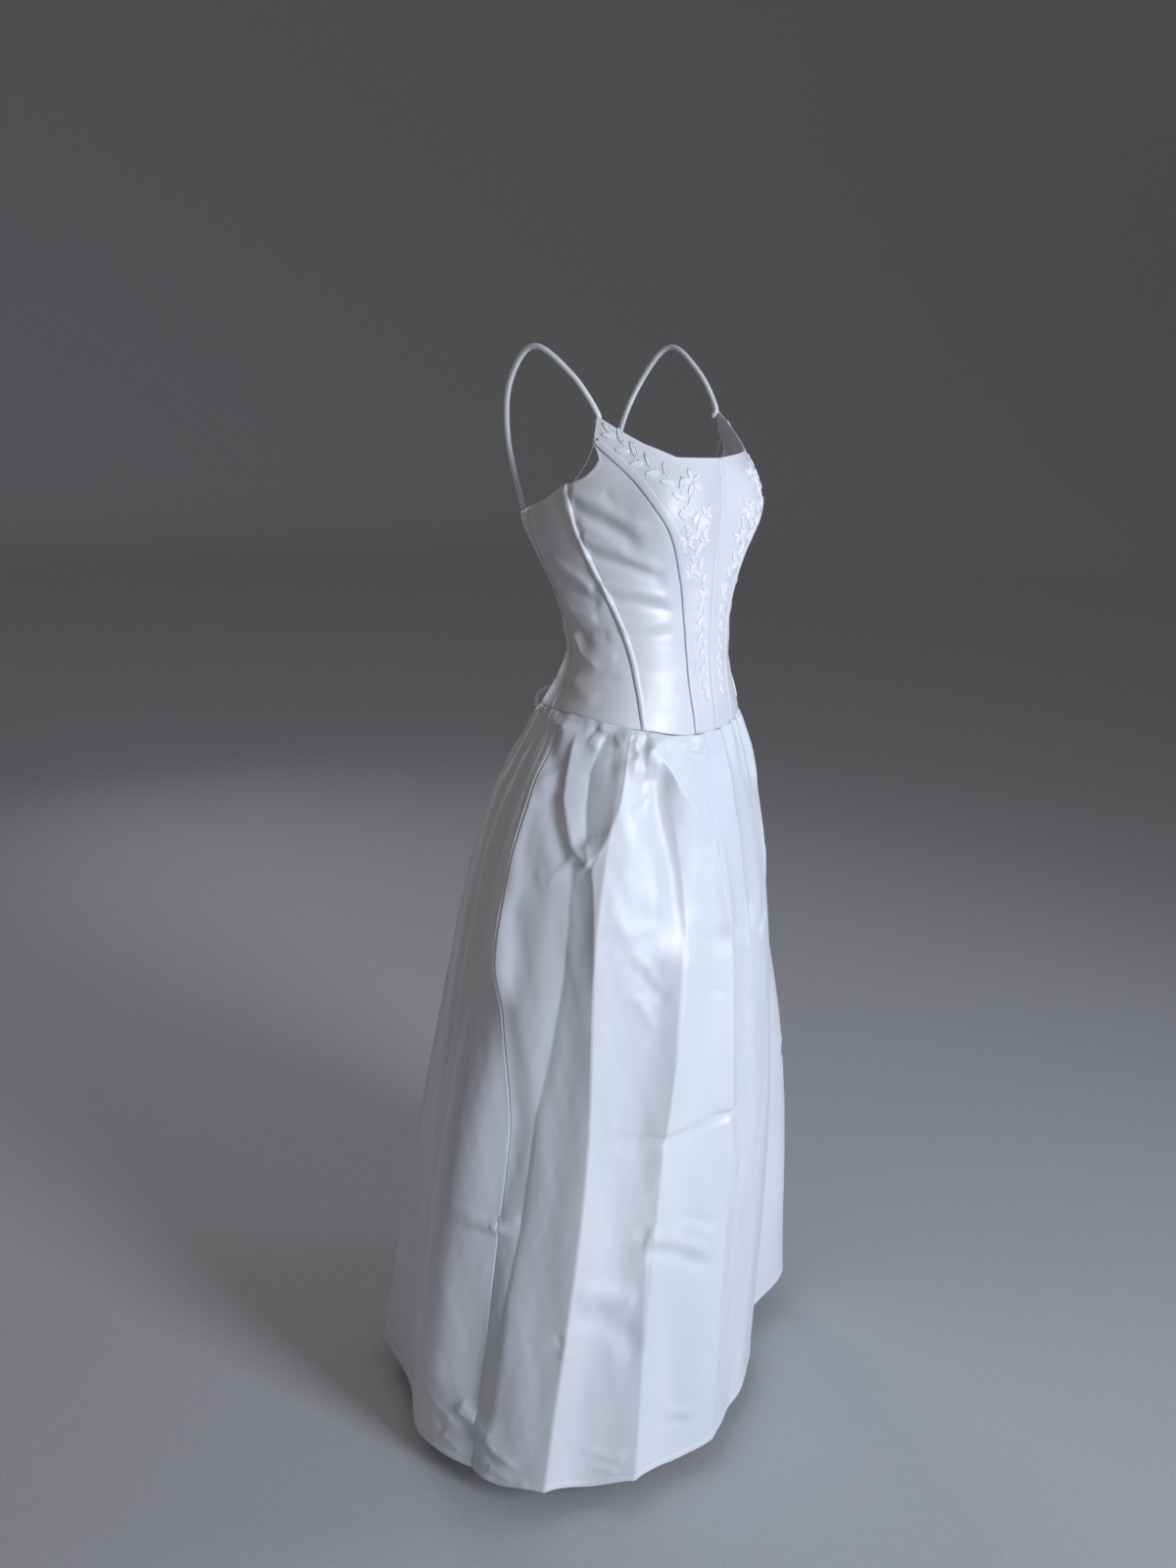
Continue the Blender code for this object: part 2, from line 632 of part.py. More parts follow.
def cord(name, points, diameter, roughness=TRIM_ROUGHNESS):
    """A round cord along its route, with filled ends."""
    curve = bpy.data.curves.new(name, "CURVE")
    curve.dimensions = "3D"
    curve.bevel_depth = diameter / 2
    curve.bevel_resolution = 2
    curve.use_fill_caps = True
    spline = curve.splines.new("POLY")
    spline.points.add(len(points) - 1)
    for point, place in zip(spline.points, points):
        point.co = (*place, 1.0)
    obj = bpy.data.objects.new(name, curve)
    collection.objects.link(obj)
    return finish(obj, TRIM_COLOUR, roughness)


def edge_frame(z, side):
    """Mid point of the lacing edge's rim, and its outward and centreward ways."""
    angle = smooth(BACK_EDGE, 1, np.asarray(z, float)) * side
    z = np.asarray(z, float)
    normal = level_normal(body_point, angle, z)
    rim = body_point(angle, z) - normal * BODICE_WALL / 2
    way = np.stack([-normal[..., 1], normal[..., 0], np.zeros_like(z)], -1)
    way = way * np.sign(side * way[..., :1])
    return rim, normal, way


def loop_route(centre_z, side):
    """A rouleau loop: out of the edge, round and back below."""
    turn = np.linspace(0.0, math.pi, LOOP_POINTS)
    zs = centre_z + LOOP_HALF_HEIGHT * np.cos(turn)
    rim, normal, way = edge_frame(zs, side)
    reach = LOOP_FOOT_GAP + LOOP_REACH * np.sin(turn)
    lift = LOOP_LIFT * np.sin(turn) ** 2
    return rim + way * reach[:, None] + normal * lift[:, None]


def lace_turn(centre_z, side):
    """The lace's way round a loop's tip, entering from inside and going down."""
    tip, forward, across, down = tip_frame(centre_z, side)
    radius = (LOOP_DIAMETER + LACE_DIAMETER) / 2 + LACE_TURN_GAP
    turn = np.linspace(0.0, math.pi, LACE_TURN_POINTS)[:, None]
    radius = radius / math.cos(math.pi / 2 / (LACE_TURN_POINTS - 1))
    drift = np.linspace(-LACE_DRIFT, LACE_DRIFT, LACE_TURN_POINTS)[:, None]
    return tip - radius * (np.cos(turn) * across + np.sin(turn) * forward) + drift * down


def tip_frame(centre_z, side):
    """Tip of a loop, and its ways onward, outward and down along the edge."""
    rims, normals, ways = edge_frame(centre_z + LOOP_HALF_HEIGHT * np.array([0.5, 0.0, -0.5]), side)
    down = (rims[2] - rims[0]) / np.linalg.norm(rims[2] - rims[0])
    forward = ways[1] * LOOP_REACH + normals[1] * LOOP_LIFT
    tip = rims[1] + ways[1] * LOOP_FOOT_GAP + forward
    forward = forward - down * np.dot(forward, down)
    forward = forward / np.linalg.norm(forward)
    across = np.cross(forward, down)
    across = across * np.sign(np.dot(across, normals[1]))
    return tip, forward, across, down


def lace_route():
    """The whole lace, up one side's zigzag, across the top and down the other."""
    half = []
    for number, height in enumerate(LOOP_HEIGHTS):
        side = 1 if number % 2 == 0 else -1
        half.append(lace_turn(height, side))
    route = []
    for number, turn in enumerate(half):
        if number:
            route.append(crossing(number, 1.0))
        route.extend(turn)
    mirrored = []
    for number, turn in enumerate(half):
        if number:
            mirrored.append(crossing(number, -1.0))
        flipped = turn * np.array([-1.0, 1.0, 1.0])
        mirrored.extend(flipped)
    return np.array(mirrored[::-1] + route)


def crossing(number, sign):
    """Where two lace runs cross at the centre back, one over the other."""
    z = (LOOP_HEIGHTS[number - 1] + LOOP_HEIGHTS[number]) / 2
    tip = tip_frame(z, 1)[0]
    return np.array([0.0, tip[1] + sign * LACE_CROSSING_LIFT, z])


def strap_route():
    """The left strap's way from the front point over the shoulder to the back."""
    ends = []
    for angle, lift in ((STRAP_FRONT_ANGLE, STRAP_FRONT_LIFT), (STRAP_BACK_ANGLE, STRAP_BACK_LIFT)):
        z = top_height(angle)
        normal = level_normal(body_point, np.array(-angle), np.array(z))
        rim = body_point(-angle, z) - normal * BODICE_WALL / 2
        ends.append(rim + np.array([0.0, 0.0, lift]))
    return np.array([ends[0], *STRAP_ROUTE, ends[1]])


def knot_place():
    """Centre of the lace's knot, at the centre back over the waist seam."""
    tip = tip_frame(LOOP_HEIGHTS[-1], 1)[0]
    return np.array([0.0, tip[1] + KNOT_STANDOFF, KNOT_Z])


def knot_exit(side, way):
    """A point just off the knot in a given direction, mirrored for a side."""
    way = np.array(way) * np.array([side, 1.0, 1.0])
    return knot_place() + way / np.linalg.norm(way) * (KNOT_RADIUS + KNOT_GAP)


def lace_end(side):
    """Where the lace comes straight onto the knot from its lowest loop."""
    way = lace_turn(LOOP_HEIGHTS[-1], side)[-1] - knot_place()
    return knot_exit(1, way)


def bow_loop(side):
    """One loop of the bow: out to the side, drooping, and back to the knot."""
    middle_part = [knot_place() + np.array([side * x, y, z]) for x, y, z in BOW_ROUTE]
    route = [knot_exit(side, BOW_OUT_WAY), *middle_part, knot_exit(side, BOW_BACK_WAY)]
    return through_points(route, BOW_POINTS)


def tail_route(side, length):
    """A free end of the lace: from the knot down over the skirt's back."""
    start = knot_exit(side, TAIL_WAY)
    share = np.linspace(0.0, 1.0, TAIL_POINTS)
    heights = start[2] - length * share
    x = start[0] + side * TAIL_SPREAD * share
    seam = WAIST_EDGE[-1, 1] - WAIST_GAP
    rest = skirt_point(np.zeros_like(heights), np.minimum(heights, seam))[:, 1] + TAIL_CLEARANCE
    return np.stack([x, np.maximum(rest, start[1]), heights], -1)


# Bodice
front_half = panel_grid(CENTRE_FRONT, PRINCESS_SEAM, FRONT_COLUMNS, False)
front_grid = mirrored_row(front_half)
bodice_wall("bodice_centre_front", *front_grid)
half_grids = [
    ("bodice_side_front", panel_grid(PRINCESS_SEAM, SIDE_FRONT_SEAM, SIDE_FRONT_COLUMNS)),
    ("bodice_side_back", panel_grid(SIDE_FRONT_SEAM, SIDE_BACK_SEAM, SIDE_BACK_COLUMNS)),
    ("bodice_back", panel_grid(SIDE_BACK_SEAM, BACK_EDGE, BACK_COLUMNS, True, False)),
]
line_angles = [front_half[0]] + [grid[0] for _, grid in half_grids]
line_heights = [front_half[1]] + [grid[1] for _, grid in half_grids]
half_line = (np.concatenate(line_angles, axis=1), np.concatenate(line_heights, axis=1))
line_angles, line_heights = mirrored_row(half_line)
bodice_line = (line_angles, line_heights, body_point(line_angles, line_heights))
middle = line_angles.shape[1] // 2
princess_end = len(FRONT_COLUMNS) - 1
side_front_end = princess_end + len(SIDE_FRONT_COLUMNS)
side_back_end = side_front_end + len(SIDE_BACK_COLUMNS)
for side, letter in ((1, "right"), (-1, "left")):
    for name, (angle, heights) in half_grids:
        bodice_wall(name + "_" + letter, angle * side, heights)
    channel("channel_princess_" + letter, bodice_line, middle + side * (princess_end - 2),
            middle + side * (princess_end - 1), FLAT_CHANNEL_HEIGHT, 0.0)
    channel("channel_side_front_" + letter, bodice_line,
            middle + side * (side_front_end - 1), middle + side * (side_front_end + 2),
            CORD_CHANNEL_HEIGHT, 1.0)
    channel("channel_side_back_" + letter, bodice_line,
            middle + side * (side_back_end - 1), middle + side * (side_back_end + 2),
            FLAT_CHANNEL_HEIGHT, 0.0)
channel("channel_centre_front", bodice_line, middle - 1, middle + 1, CENTRE_CHANNEL_HEIGHT, 0.0)

# Skirt
last_fold = len(FOLDS) - 1
skirt_panel("skirt_front", LEFT_SIDE_SEAM, RIGHT_SIDE_SEAM)
skirt_panel("skirt_back_right", RIGHT_SIDE_SEAM, last_fold)
skirt_panel("skirt_back_left", 0, LEFT_SIDE_SEAM)

# Straps, loops and lacing
for side, letter in ((-1, "right"), (1, "left")):
    route = strap_route() * np.array([side, 1.0, 1.0])
    cord("strap_" + letter, through_points(route, STRAP_POINTS), STRAP_DIAMETER)
    for number, height in enumerate(LOOP_HEIGHTS):
        cord("loop_%s_%d" % (letter, number + 1), loop_route(height, -side), LOOP_DIAMETER)
lace = lace_route()
lace_side = 1 if lace[-1, 0] < 0 else -1
lace = np.concatenate([[lace_end(-lace_side)], lace, [lace_end(lace_side)]])
cord("lacing", lace, LACE_DIAMETER)
bpy.ops.mesh.primitive_uv_sphere_add(segments=12, ring_count=8, radius=KNOT_RADIUS,
                                     location=tuple(knot_place()))
knot = bpy.context.active_object
knot.name = "lace_knot"
for holder in list(knot.users_collection):
    holder.objects.unlink(knot)
collection.objects.link(knot)
finish(knot, TRIM_COLOUR, TRIM_ROUGHNESS)
for side, letter in ((-1, "right"), (1, "left")):
    cord("bow_loop_" + letter, bow_loop(side), LACE_DIAMETER)
    cord("lace_tail_" + letter, tail_route(side, TAIL_LENGTHS[side > 0]), LACE_DIAMETER)
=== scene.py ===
"""Looks of a laced and boned satin wedding dress, hollow, in the form it has when worn.

Metres, +Z up.  The front faces -Y and the wearer's right side is -X.  An angle round the
body is 0 degrees at the centre front, 90 at the right side and 180 at the centre back,
and the left side has negative angles.
"""
import logging
import math
from dataclasses import astuple, dataclass, field
from enum import Enum
from typing import Sequence

import bmesh
import bpy
import numpy as np
from mathutils import Matrix, Vector


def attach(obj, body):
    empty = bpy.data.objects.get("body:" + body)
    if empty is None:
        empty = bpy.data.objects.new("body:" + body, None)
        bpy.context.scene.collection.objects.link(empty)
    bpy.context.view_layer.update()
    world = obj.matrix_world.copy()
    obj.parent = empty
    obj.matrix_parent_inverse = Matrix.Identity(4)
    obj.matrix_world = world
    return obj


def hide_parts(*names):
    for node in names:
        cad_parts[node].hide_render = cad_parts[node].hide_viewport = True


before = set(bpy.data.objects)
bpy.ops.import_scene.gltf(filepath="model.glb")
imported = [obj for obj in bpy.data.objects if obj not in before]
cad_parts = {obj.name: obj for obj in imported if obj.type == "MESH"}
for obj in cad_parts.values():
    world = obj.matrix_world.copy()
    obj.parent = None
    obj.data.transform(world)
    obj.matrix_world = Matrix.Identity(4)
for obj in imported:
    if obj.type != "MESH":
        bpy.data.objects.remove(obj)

Array = np.ndarray
LOG = logging.getLogger("wedding_dress")
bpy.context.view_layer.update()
MM = 0.001
# which way each half of the bodice has its angles, and its name
SIDES = ((1, "right"), (-1, "left"))
# widths of a crease beyond which its relief is left out, and the smallest radius of the form
CREASE_REACH = 3.2
LEAST_RADIUS = 0.12
# where a noise's middle range starts and stops
NOISE_RANGE = (0.3, 0.7)
# share of its radius by which a tube's end stands out as a dome
DOME_SHARE = 0.6


def read_curve(table: Array, column: int, at: Array) -> Array:
    """Read a smooth curve through a table's rows.

    A cubic between each two rows whose slope at a row is the harmonic mean of the slopes
    beside it, and 0 where they differ in sign, so the curve never overshoots.

    Args:
        table: rows whose first column is the place along the curve.
        column: the column to read.
        at: the places to read; past an end the curve stays level.

    Returns:
        The values, in the form of at.
    """
    order = np.argsort(table[:, 0])
    xs = table[order, 0]
    ys = table[order, column]
    at = np.clip(np.asarray(at, float), xs[0], xs[-1])
    steps = np.diff(xs)
    rises = np.diff(ys) / steps
    slopes = np.empty(len(xs))
    slopes[0] = rises[0]
    slopes[-1] = rises[-1]
    same = rises[:-1] * rises[1:] > 0
    weight_a = 2 * steps[1:] + steps[:-1]
    weight_b = steps[1:] + 2 * steps[:-1]
    safe_a = np.where(same, rises[:-1], 1.0)
    safe_b = np.where(same, rises[1:], 1.0)
    mean = (weight_a + weight_b) / (weight_a / safe_a + weight_b / safe_b)
    slopes[1:-1] = np.where(same, mean, 0.0)
    i = np.clip(np.searchsorted(xs, at, side="right") - 1, 0, len(xs) - 2)
    h = steps[i]
    t = (at - xs[i]) / h
    return ((1 + 2 * t) * (1 - t) ** 2 * ys[i] + t * (1 - t) ** 2 * h * slopes[i]
            + t * t * (3 - 2 * t) * ys[i + 1] + t * t * (t - 1) * h * slopes[i + 1])


def unit(vectors: Array) -> Array:
    """Vectors at length 1, along the last axis."""
    return vectors / np.maximum(np.linalg.norm(vectors, axis=-1, keepdims=True), 1e-12)


def ease(x: Array) -> Array:
    """Smooth step: 0 below 0, 1 above 1 and 3x^2 - 2x^3 between."""
    x = np.clip(x, 0.0, 1.0)
    return x * x * (3 - 2 * x)


class MeshMaker:
    """Turns arrays of points and faces into Blender objects."""

    @staticmethod
    def build(name: str, verts: Array, faces: Sequence[Array],
              uv: Array | None = None) -> bpy.types.Object:
        """Make an object whose place is in its mesh.

        Args:
            name: the piece's name.
            verts: points by 3, in metres.
            faces: arrays of corner indices, one array for each count of corners.
            uv: one u and v for each point, or nothing.

        Returns:
            The new object, linked into the scene, with smooth faces.
        """
        mesh = bpy.data.meshes.new(name)
        counts = np.concatenate([np.full(len(group), group.shape[1], np.int32) for group in faces])
        corners = np.concatenate([group.ravel() for group in faces]).astype(np.int32)
        starts = np.concatenate([[0], np.cumsum(counts)[:-1]]).astype(np.int32)
        mesh.vertices.add(len(verts))
        mesh.vertices.foreach_set("co", np.asarray(verts, np.float32).ravel())
        mesh.loops.add(len(corners))
        mesh.loops.foreach_set("vertex_index", corners)
        mesh.polygons.add(len(counts))
        mesh.polygons.foreach_set("loop_start", starts)
        mesh.polygons.foreach_set("loop_total", counts)
        mesh.polygons.foreach_set("use_smooth", np.ones(len(counts), bool))
        if uv is not None:
            layer = mesh.uv_layers.new(name="cloth")
            layer.data.foreach_set("uv", np.asarray(uv, np.float32)[corners].ravel())
        mesh.update(calc_edges=True)
        mesh.validate()
        piece = bpy.data.objects.new(name, mesh)
        bpy.context.scene.collection.objects.link(piece)
        return piece

    @staticmethod
    def grid_faces(rows: int, columns: int, base: int = 0, flip: bool = False,
                   wrap: bool = False) -> Array:
        """Quads of a grid of points that are counted row by row.

        Args:
            rows: rows of points.
            columns: points in a row.
            base: the first point's index.
            flip: turn the faces over.
            wrap: join the last column to the first.

        Returns:
            Faces by 4.
        """
        across = columns if wrap else columns - 1
        row, col = np.meshgrid(np.arange(rows - 1), np.arange(across), indexing="ij")
        nxt = (col + 1) % columns
        quads = np.stack([row * columns + col, row * columns + nxt,
                          (row + 1) * columns + nxt, (row + 1) * columns + col], -1).reshape(-1, 4)
        quads = quads[:, ::-1] if flip else quads
        return quads + base

    @classmethod
    def shell(cls, name: str, outer: Array, inner: Array, uv: Array,
              ratio: int = 1) -> bpy.types.Object:
        """Closed cloth wall from an outer grid and a coarser inner one.

        Each edge of the inner grid meets ratio edges of the outer one, and the rims are
        strips of triangles between the two.  The rims are shaded flat, so that the wall's
        own shading runs on to its edge.

        Args:
            name: the piece's name.
            outer: rows by columns by 3.
            inner: the inner wall's points, at every ratio-th row and column.
            uv: u and v of each outer point, in metres on the cloth.
            ratio: how many outer steps one inner step spans.

        Returns:
            The closed piece.
        """
        rows, columns = outer.shape[:2]
        index = np.arange(rows * columns).reshape(rows, columns)
        in_rows, in_columns = inner.shape[:2]
        inner_index = rows * columns + np.arange(in_rows * in_columns).reshape(in_rows, in_columns)
        quads = [cls.grid_faces(rows, columns),
                 cls.grid_faces(in_rows, in_columns, rows * columns, True)]
        rims = [(index[0], inner_index[0], True), (index[-1], inner_index[-1], False),
                (index[:, 0], inner_index[:, 0], False), (index[:, -1], inner_index[:, -1], True)]
        strips = [cls.rim_strip(fine, coarse, ratio, flip) for fine, coarse, flip in rims]
        verts = np.concatenate([outer.reshape(-1, 3), inner.reshape(-1, 3)])
        inner_uv = uv[::ratio, ::ratio]
        both_uv = np.concatenate([uv.reshape(-1, 2), inner_uv.reshape(-1, 2)])
        strips = np.concatenate(strips)
        piece = cls.build(name, verts, [np.concatenate(quads), strips], both_uv)
        smooth = np.ones(len(piece.data.polygons), bool)
        smooth[-len(strips):] = False
        piece.data.polygons.foreach_set("use_smooth", smooth)
        piece.data.update()
        return piece

    @staticmethod
    def thinned(inner: Array, rows: int, ratio: int) -> Array:
        """The inner wall's points that face every ratio-th point of the outer wall.

        Args:
            inner: the inner wall's points at full fineness.
            rows: rows of the outer wall, with those of its rims.
            ratio: outer steps in an inner one.

        Returns:
            (rows - 1) / ratio + 1 rows of every ratio-th point.
        """
        wanted = np.linspace(0, len(inner) - 1, (rows - 1) // ratio + 1).round().astype(int)
        return inner[wanted][:, ::ratio]

    @staticmethod
    def rim_strip(fine: Array, coarse: Array, ratio: int, flip: bool) -> Array:
        """Triangles between a fine edge of points and a coarse one beside it.

        Args:
            fine: point indices, ratio for each coarse step and one more.
            coarse: point indices.
            ratio: fine steps in a coarse one.
            flip: turn the faces over.

        Returns:
            Faces by 3.
        """
        step = np.arange(len(coarse) - 1)
        half = (ratio + 1) // 2
        parts = [np.stack([coarse[step], coarse[step + 1], fine[step * ratio + half]], -1)]
        for k in range(ratio):
            near = coarse[step] if k < half else coarse[step + 1]
            parts.append(np.stack([near, fine[step * ratio + k + 1], fine[step * ratio + k]], -1))
        triangles = np.concatenate(parts)
        return triangles if flip else triangles[:, ::-1]

    @classmethod
    def tube(cls, name: str, path: Array, radius: Array, sides: int = 14) -> bpy.types.Object:
        """Round tube along a path, closed by domed ends.

        Point (i, k) is path[i] + radius[i] (cos a_k n_i + sin a_k b_i), where n_i and b_i
        are carried along the path without twist.

        Args:
            name: the piece's name.
            path: points by 3.
            radius: the tube's radius at each point.
            sides: points round the tube.

        Returns:
            The closed piece, with u along it and v round it, in metres.
        """
        tangent = unit(np.gradient(path, axis=0))
        normal = carried_normals(tangent)
        binormal = np.cross(tangent, normal)
        turn = np.linspace(0, 2 * math.pi, sides, endpoint=False)
        round_way = (np.cos(turn)[None, :, None] * normal[:, None]
                     + np.sin(turn)[None, :, None] * binormal[:, None])
        rings = path[:, None] + radius[:, None, None] * round_way
        ends = np.stack([path[0] - tangent[0] * radius[0] * DOME_SHARE,
                         path[-1] + tangent[-1] * radius[-1] * DOME_SHARE])
        verts = np.concatenate([rings.reshape(-1, 3), ends])
        count = len(path)
        first = np.arange(sides)
        nxt = (first + 1) % sides
        last = (count - 1) * sides
        start_cap = np.stack([np.full(sides, count * sides), nxt, first], -1)
        end_cap = np.stack([np.full(sides, count * sides + 1), last + first, last + nxt], -1)
        run = run_along(path)
        u = np.repeat(run[:, None], sides, 1)
        v = np.repeat((turn / (2 * math.pi))[None, :], count, 0) * 2 * math.pi * np.mean(radius)
        uv = np.concatenate([np.stack([u, v], -1).reshape(-1, 2), [[0.0, 0.0], [run[-1], 0.0]]])
        body = cls.grid_faces(count, sides, wrap=True)
        return cls.build(name, verts, [body, np.concatenate([start_cap, end_cap])], uv)


def carried_normals(tangent: Array) -> Array:
    """A normal at each point of a path, carried along it without twist.

    Args:
        tangent: unit ways along the path.

    Returns:
        Unit normals square to the tangents.
    """
    start = np.array([0.0, 0.0, 1.0]) if abs(tangent[0][2]) < 0.9 else np.array([1.0, 0.0, 0.0])
    normals = np.empty_like(tangent)
    normal = unit(start - tangent[0] * np.dot(start, tangent[0]))
    for i, way in enumerate(tangent):
        normal = unit(normal - way * np.dot(normal, way))
        normals[i] = normal
    return normals


def smooth_path(points: Sequence[Sequence[float]], count: int) -> Array:
    """Evenly spaced points of a smooth curve through a route's points.

    A Catmull-Rom curve: between two points it is the cubic whose slopes at them are half
    the step between their neighbours.

    Args:
        points: the route, in metres.
        count: points wanted.

    Returns:
        count points by 3.
    """
    route = np.asarray(points, float)
    ends = np.concatenate([[2 * route[0] - route[1]], route, [2 * route[-1] - route[-2]]])
    t = np.linspace(0.0, 1.0, 24, endpoint=False)[None, :, None]
    p0, p1, p2, p3 = (ends[k:len(ends) - 3 + k, None] for k in range(4))
    fine = 0.5 * (2 * p1 + (p2 - p0) * t + (2 * p0 - 5 * p1 + 4 * p2 - p3) * t ** 2
                  + (3 * p1 - p0 - 3 * p2 + p3) * t ** 3)
    fine = np.concatenate([fine.reshape(-1, 3), route[-1:]])
    run = run_along(fine)
    want = np.linspace(0.0, run[-1], count)
    return np.stack([np.interp(want, run, fine[:, axis]) for axis in range(3)], -1)


def run_along(points: Array) -> Array:
    """Distance run from a path's start to each of its points."""
    return np.concatenate([[0.0], np.cumsum(np.linalg.norm(np.diff(points, axis=0), axis=1))])


@dataclass(frozen=True)
class DressForm:
    """The outer surface of the fitted part of the dress.

    Each level section is two half ovals, for the front and for the back, that meet at the
    widest point, and soft cups stand out of the front.
    """

    # z, half width, and y of the centre front, the centre back and the widest point
    sections: Array = field(default_factory=lambda: np.array([
        (-0.060, 0.141, -0.122, 0.050, -0.050),
        (-0.073, 0.143, -0.136, 0.055, -0.052),
        (-0.118, 0.148, -0.166, 0.066, -0.058),
        (-0.150, 0.151, -0.170, 0.071, -0.060),
        (-0.172, 0.151, -0.170, 0.074, -0.060),
        (-0.197, 0.149, -0.169, 0.075, -0.060),
        (-0.238, 0.141, -0.167, 0.052, -0.062),
        (-0.282, 0.131, -0.168, 0.023, -0.067),
        (-0.326, 0.123, -0.168, 0.008, -0.073),
        (-0.352, 0.121, -0.169, 0.005, -0.075),
        (-0.388, 0.127, -0.173, 0.016, -0.072),
        (-0.424, 0.143, -0.180, 0.036, -0.068),
        (-0.450, 0.155, -0.184, 0.047, -0.066),
        (-0.500, 0.174, -0.198, 0.076, -0.060),
        (-0.599, 0.203, -0.217, 0.118, -0.048),
        (-0.713, 0.226, -0.232, 0.150, -0.042),
        (-0.868, 0.251, -0.246, 0.180, -0.036),
        (-1.019, 0.273, -0.256, 0.208, -0.030),
        (-1.186, 0.292, -0.262, 0.235, -0.022),
        (-1.324, 0.303, -0.266, 0.256, -0.014),
        (-1.413, 0.308, -0.268, 0.265, -0.010),
    ]))
    # angle and height of the bodice's upper edge
    top_edge: Array = field(default_factory=lambda: np.array([
        (0.0, -0.1190), (34.0, -0.1150), (68.5, -0.0710), (75.2, -0.1000), (80.0, -0.1190),
        (87.4, -0.1390), (94.3, -0.1530), (103.6, -0.1680), (112.0, -0.1770),
        (128.0, -0.1890), (146.0, -0.1960), (165.0, -0.1990), (180.0, -0.2000),
    ]))
    # angle and height of the waist seam
    waist_edge: Array = field(default_factory=lambda: np.array([
        (0.0, -0.4460), (17.0, -0.4450), (48.0, -0.4330), (68.0, -0.4250),
        (92.0, -0.4200), (110.0, -0.4210), (140.0, -0.4260), (180.0, -0.4300),
    ]))
    back_squareness: float = 2.35
    square_down_to: float = -0.40
    square_fades_over: float = 0.30
    cup_depth: float = 0.027
    cup_angle: float = 32.0
    cup_reach_angle: float = 23.0
    cup_z: float = -0.176
    cup_reach_up: float = 0.052
    cup_reach_down: float = 0.075

    def point(self, angle: Array, z: Array) -> Array:
        """Point of the form at an angle and height.

        x = -a sign(sin) |sin|^p and y = y_side + (y_end - y_side) |cos|^p, with p = 1 in
        front and 2 / squareness behind; the cups add depth e^(-u^2 - v^2) outwards.

        Args:
            angle: degrees round the body.
            z: heights.

        Returns:
            Points, with 3 coordinates on a last axis.
        """
        angle, z = np.broadcast_arrays(np.asarray(angle, float), np.asarray(z, float))
        columns = (read_curve(self.sections, k, z) for k in (1, 2, 3, 4))
        half_width, y_front, y_back, y_side = columns
        turn = np.radians(angle)
        cosine = np.cos(turn)
        sine = np.sin(turn)
        round_below = np.clip((self.square_down_to - z) / self.square_fades_over, 0.0, 1.0)
        squareness = self.back_squareness + (2.0 - self.back_squareness) * round_below
        power = np.where(cosine > 0, 1.0, 2.0 / squareness)
        x = -half_width * np.sign(sine) * np.abs(sine) ** power
        depth = np.where(cosine > 0, y_front, y_back) - y_side
        y = y_side + depth * np.abs(cosine) ** power
        reach = np.where(z > self.cup_z, self.cup_reach_up, self.cup_reach_down)
        across = (np.abs(angle) - self.cup_angle) / self.cup_reach_angle
        cup = self.cup_depth * np.exp(-across ** 2 - ((z - self.cup_z) / reach) ** 2)
        out = unit(np.stack([x, y - y_side], -1))
        return np.stack([x + cup * out[..., 0], y + cup * out[..., 1], z], -1)

    def level_normal(self, angle: Array, z: Array) -> Array:
        """Level outward way of the form."""
        side = self.point(np.asarray(angle) + 0.2, z) - self.point(np.asarray(angle) - 0.2, z)
        return unit(np.stack([-side[..., 1], side[..., 0], np.zeros_like(side[..., 0])], -1))

    def normal(self, angle: Array, z: Array) -> Array:
        """Outward normal of the form, from two small steps on it."""
        across = self.point(np.asarray(angle) + 0.4, z) - self.point(np.asarray(angle) - 0.4, z)
        up = self.point(angle, np.asarray(z) + 0.002) - self.point(angle, np.asarray(z) - 0.002)
        return unit(np.cross(up, across))

    def radius(self, z: Array) -> Array:
        """Mean radius of the form at a height, which turns degrees into metres."""
        return (read_curve(self.sections, 1, z)
                + (read_curve(self.sections, 3, z) - read_curve(self.sections, 2, z)) / 2) / 2

    def top(self, angle: Array) -> Array:
        """Height of the bodice's upper edge."""
        return np.interp(np.abs(angle), self.top_edge[:, 0], self.top_edge[:, 1])

    def waist(self, angle: Array) -> Array:
        """Height of the waist seam."""
        return read_curve(self.waist_edge, 1, np.abs(angle))


class Crest(Enum):
    """How the top of a crease or the bottom of a trough looks."""

    SHARP = 1.0
    SOFT = 2.0


@dataclass(frozen=True)
class Crease:
    """One ridge or trough of the cloth.

    Its line is a chain of (angle, z).  The relief at a signed distance s from it is
    depth e^(-(|s| / width)^p), with p = 1 for a sharp crest and 2 for a soft one, and
    fades in at the start and out at the end of the line.

    Attributes:
        line: the chain, in degrees and metres.
        depth: millimetres outwards, below 0 for a trough.
        plus: width in millimetres on the side of the larger angles, or above a line that
            runs towards larger angles.
        minus: width in millimetres on the other side.
        crest: sharp or soft.
        fade_in: millimetres over which it rises at its start.
        fade_out: millimetres over which it dies at its end.
    """

    line: tuple[tuple[float, float], ...]
    depth: float
    plus: float
    minus: float
    crest: Crest
    fade_in: float
    fade_out: float

    def mirrored(self) -> "Crease":
        """The same crease on the other half of the dress."""
        line = tuple((-angle, z) for angle, z in self.line)
        return Crease(line, self.depth, self.minus, self.plus, self.crest, self.fade_in,
                      self.fade_out)


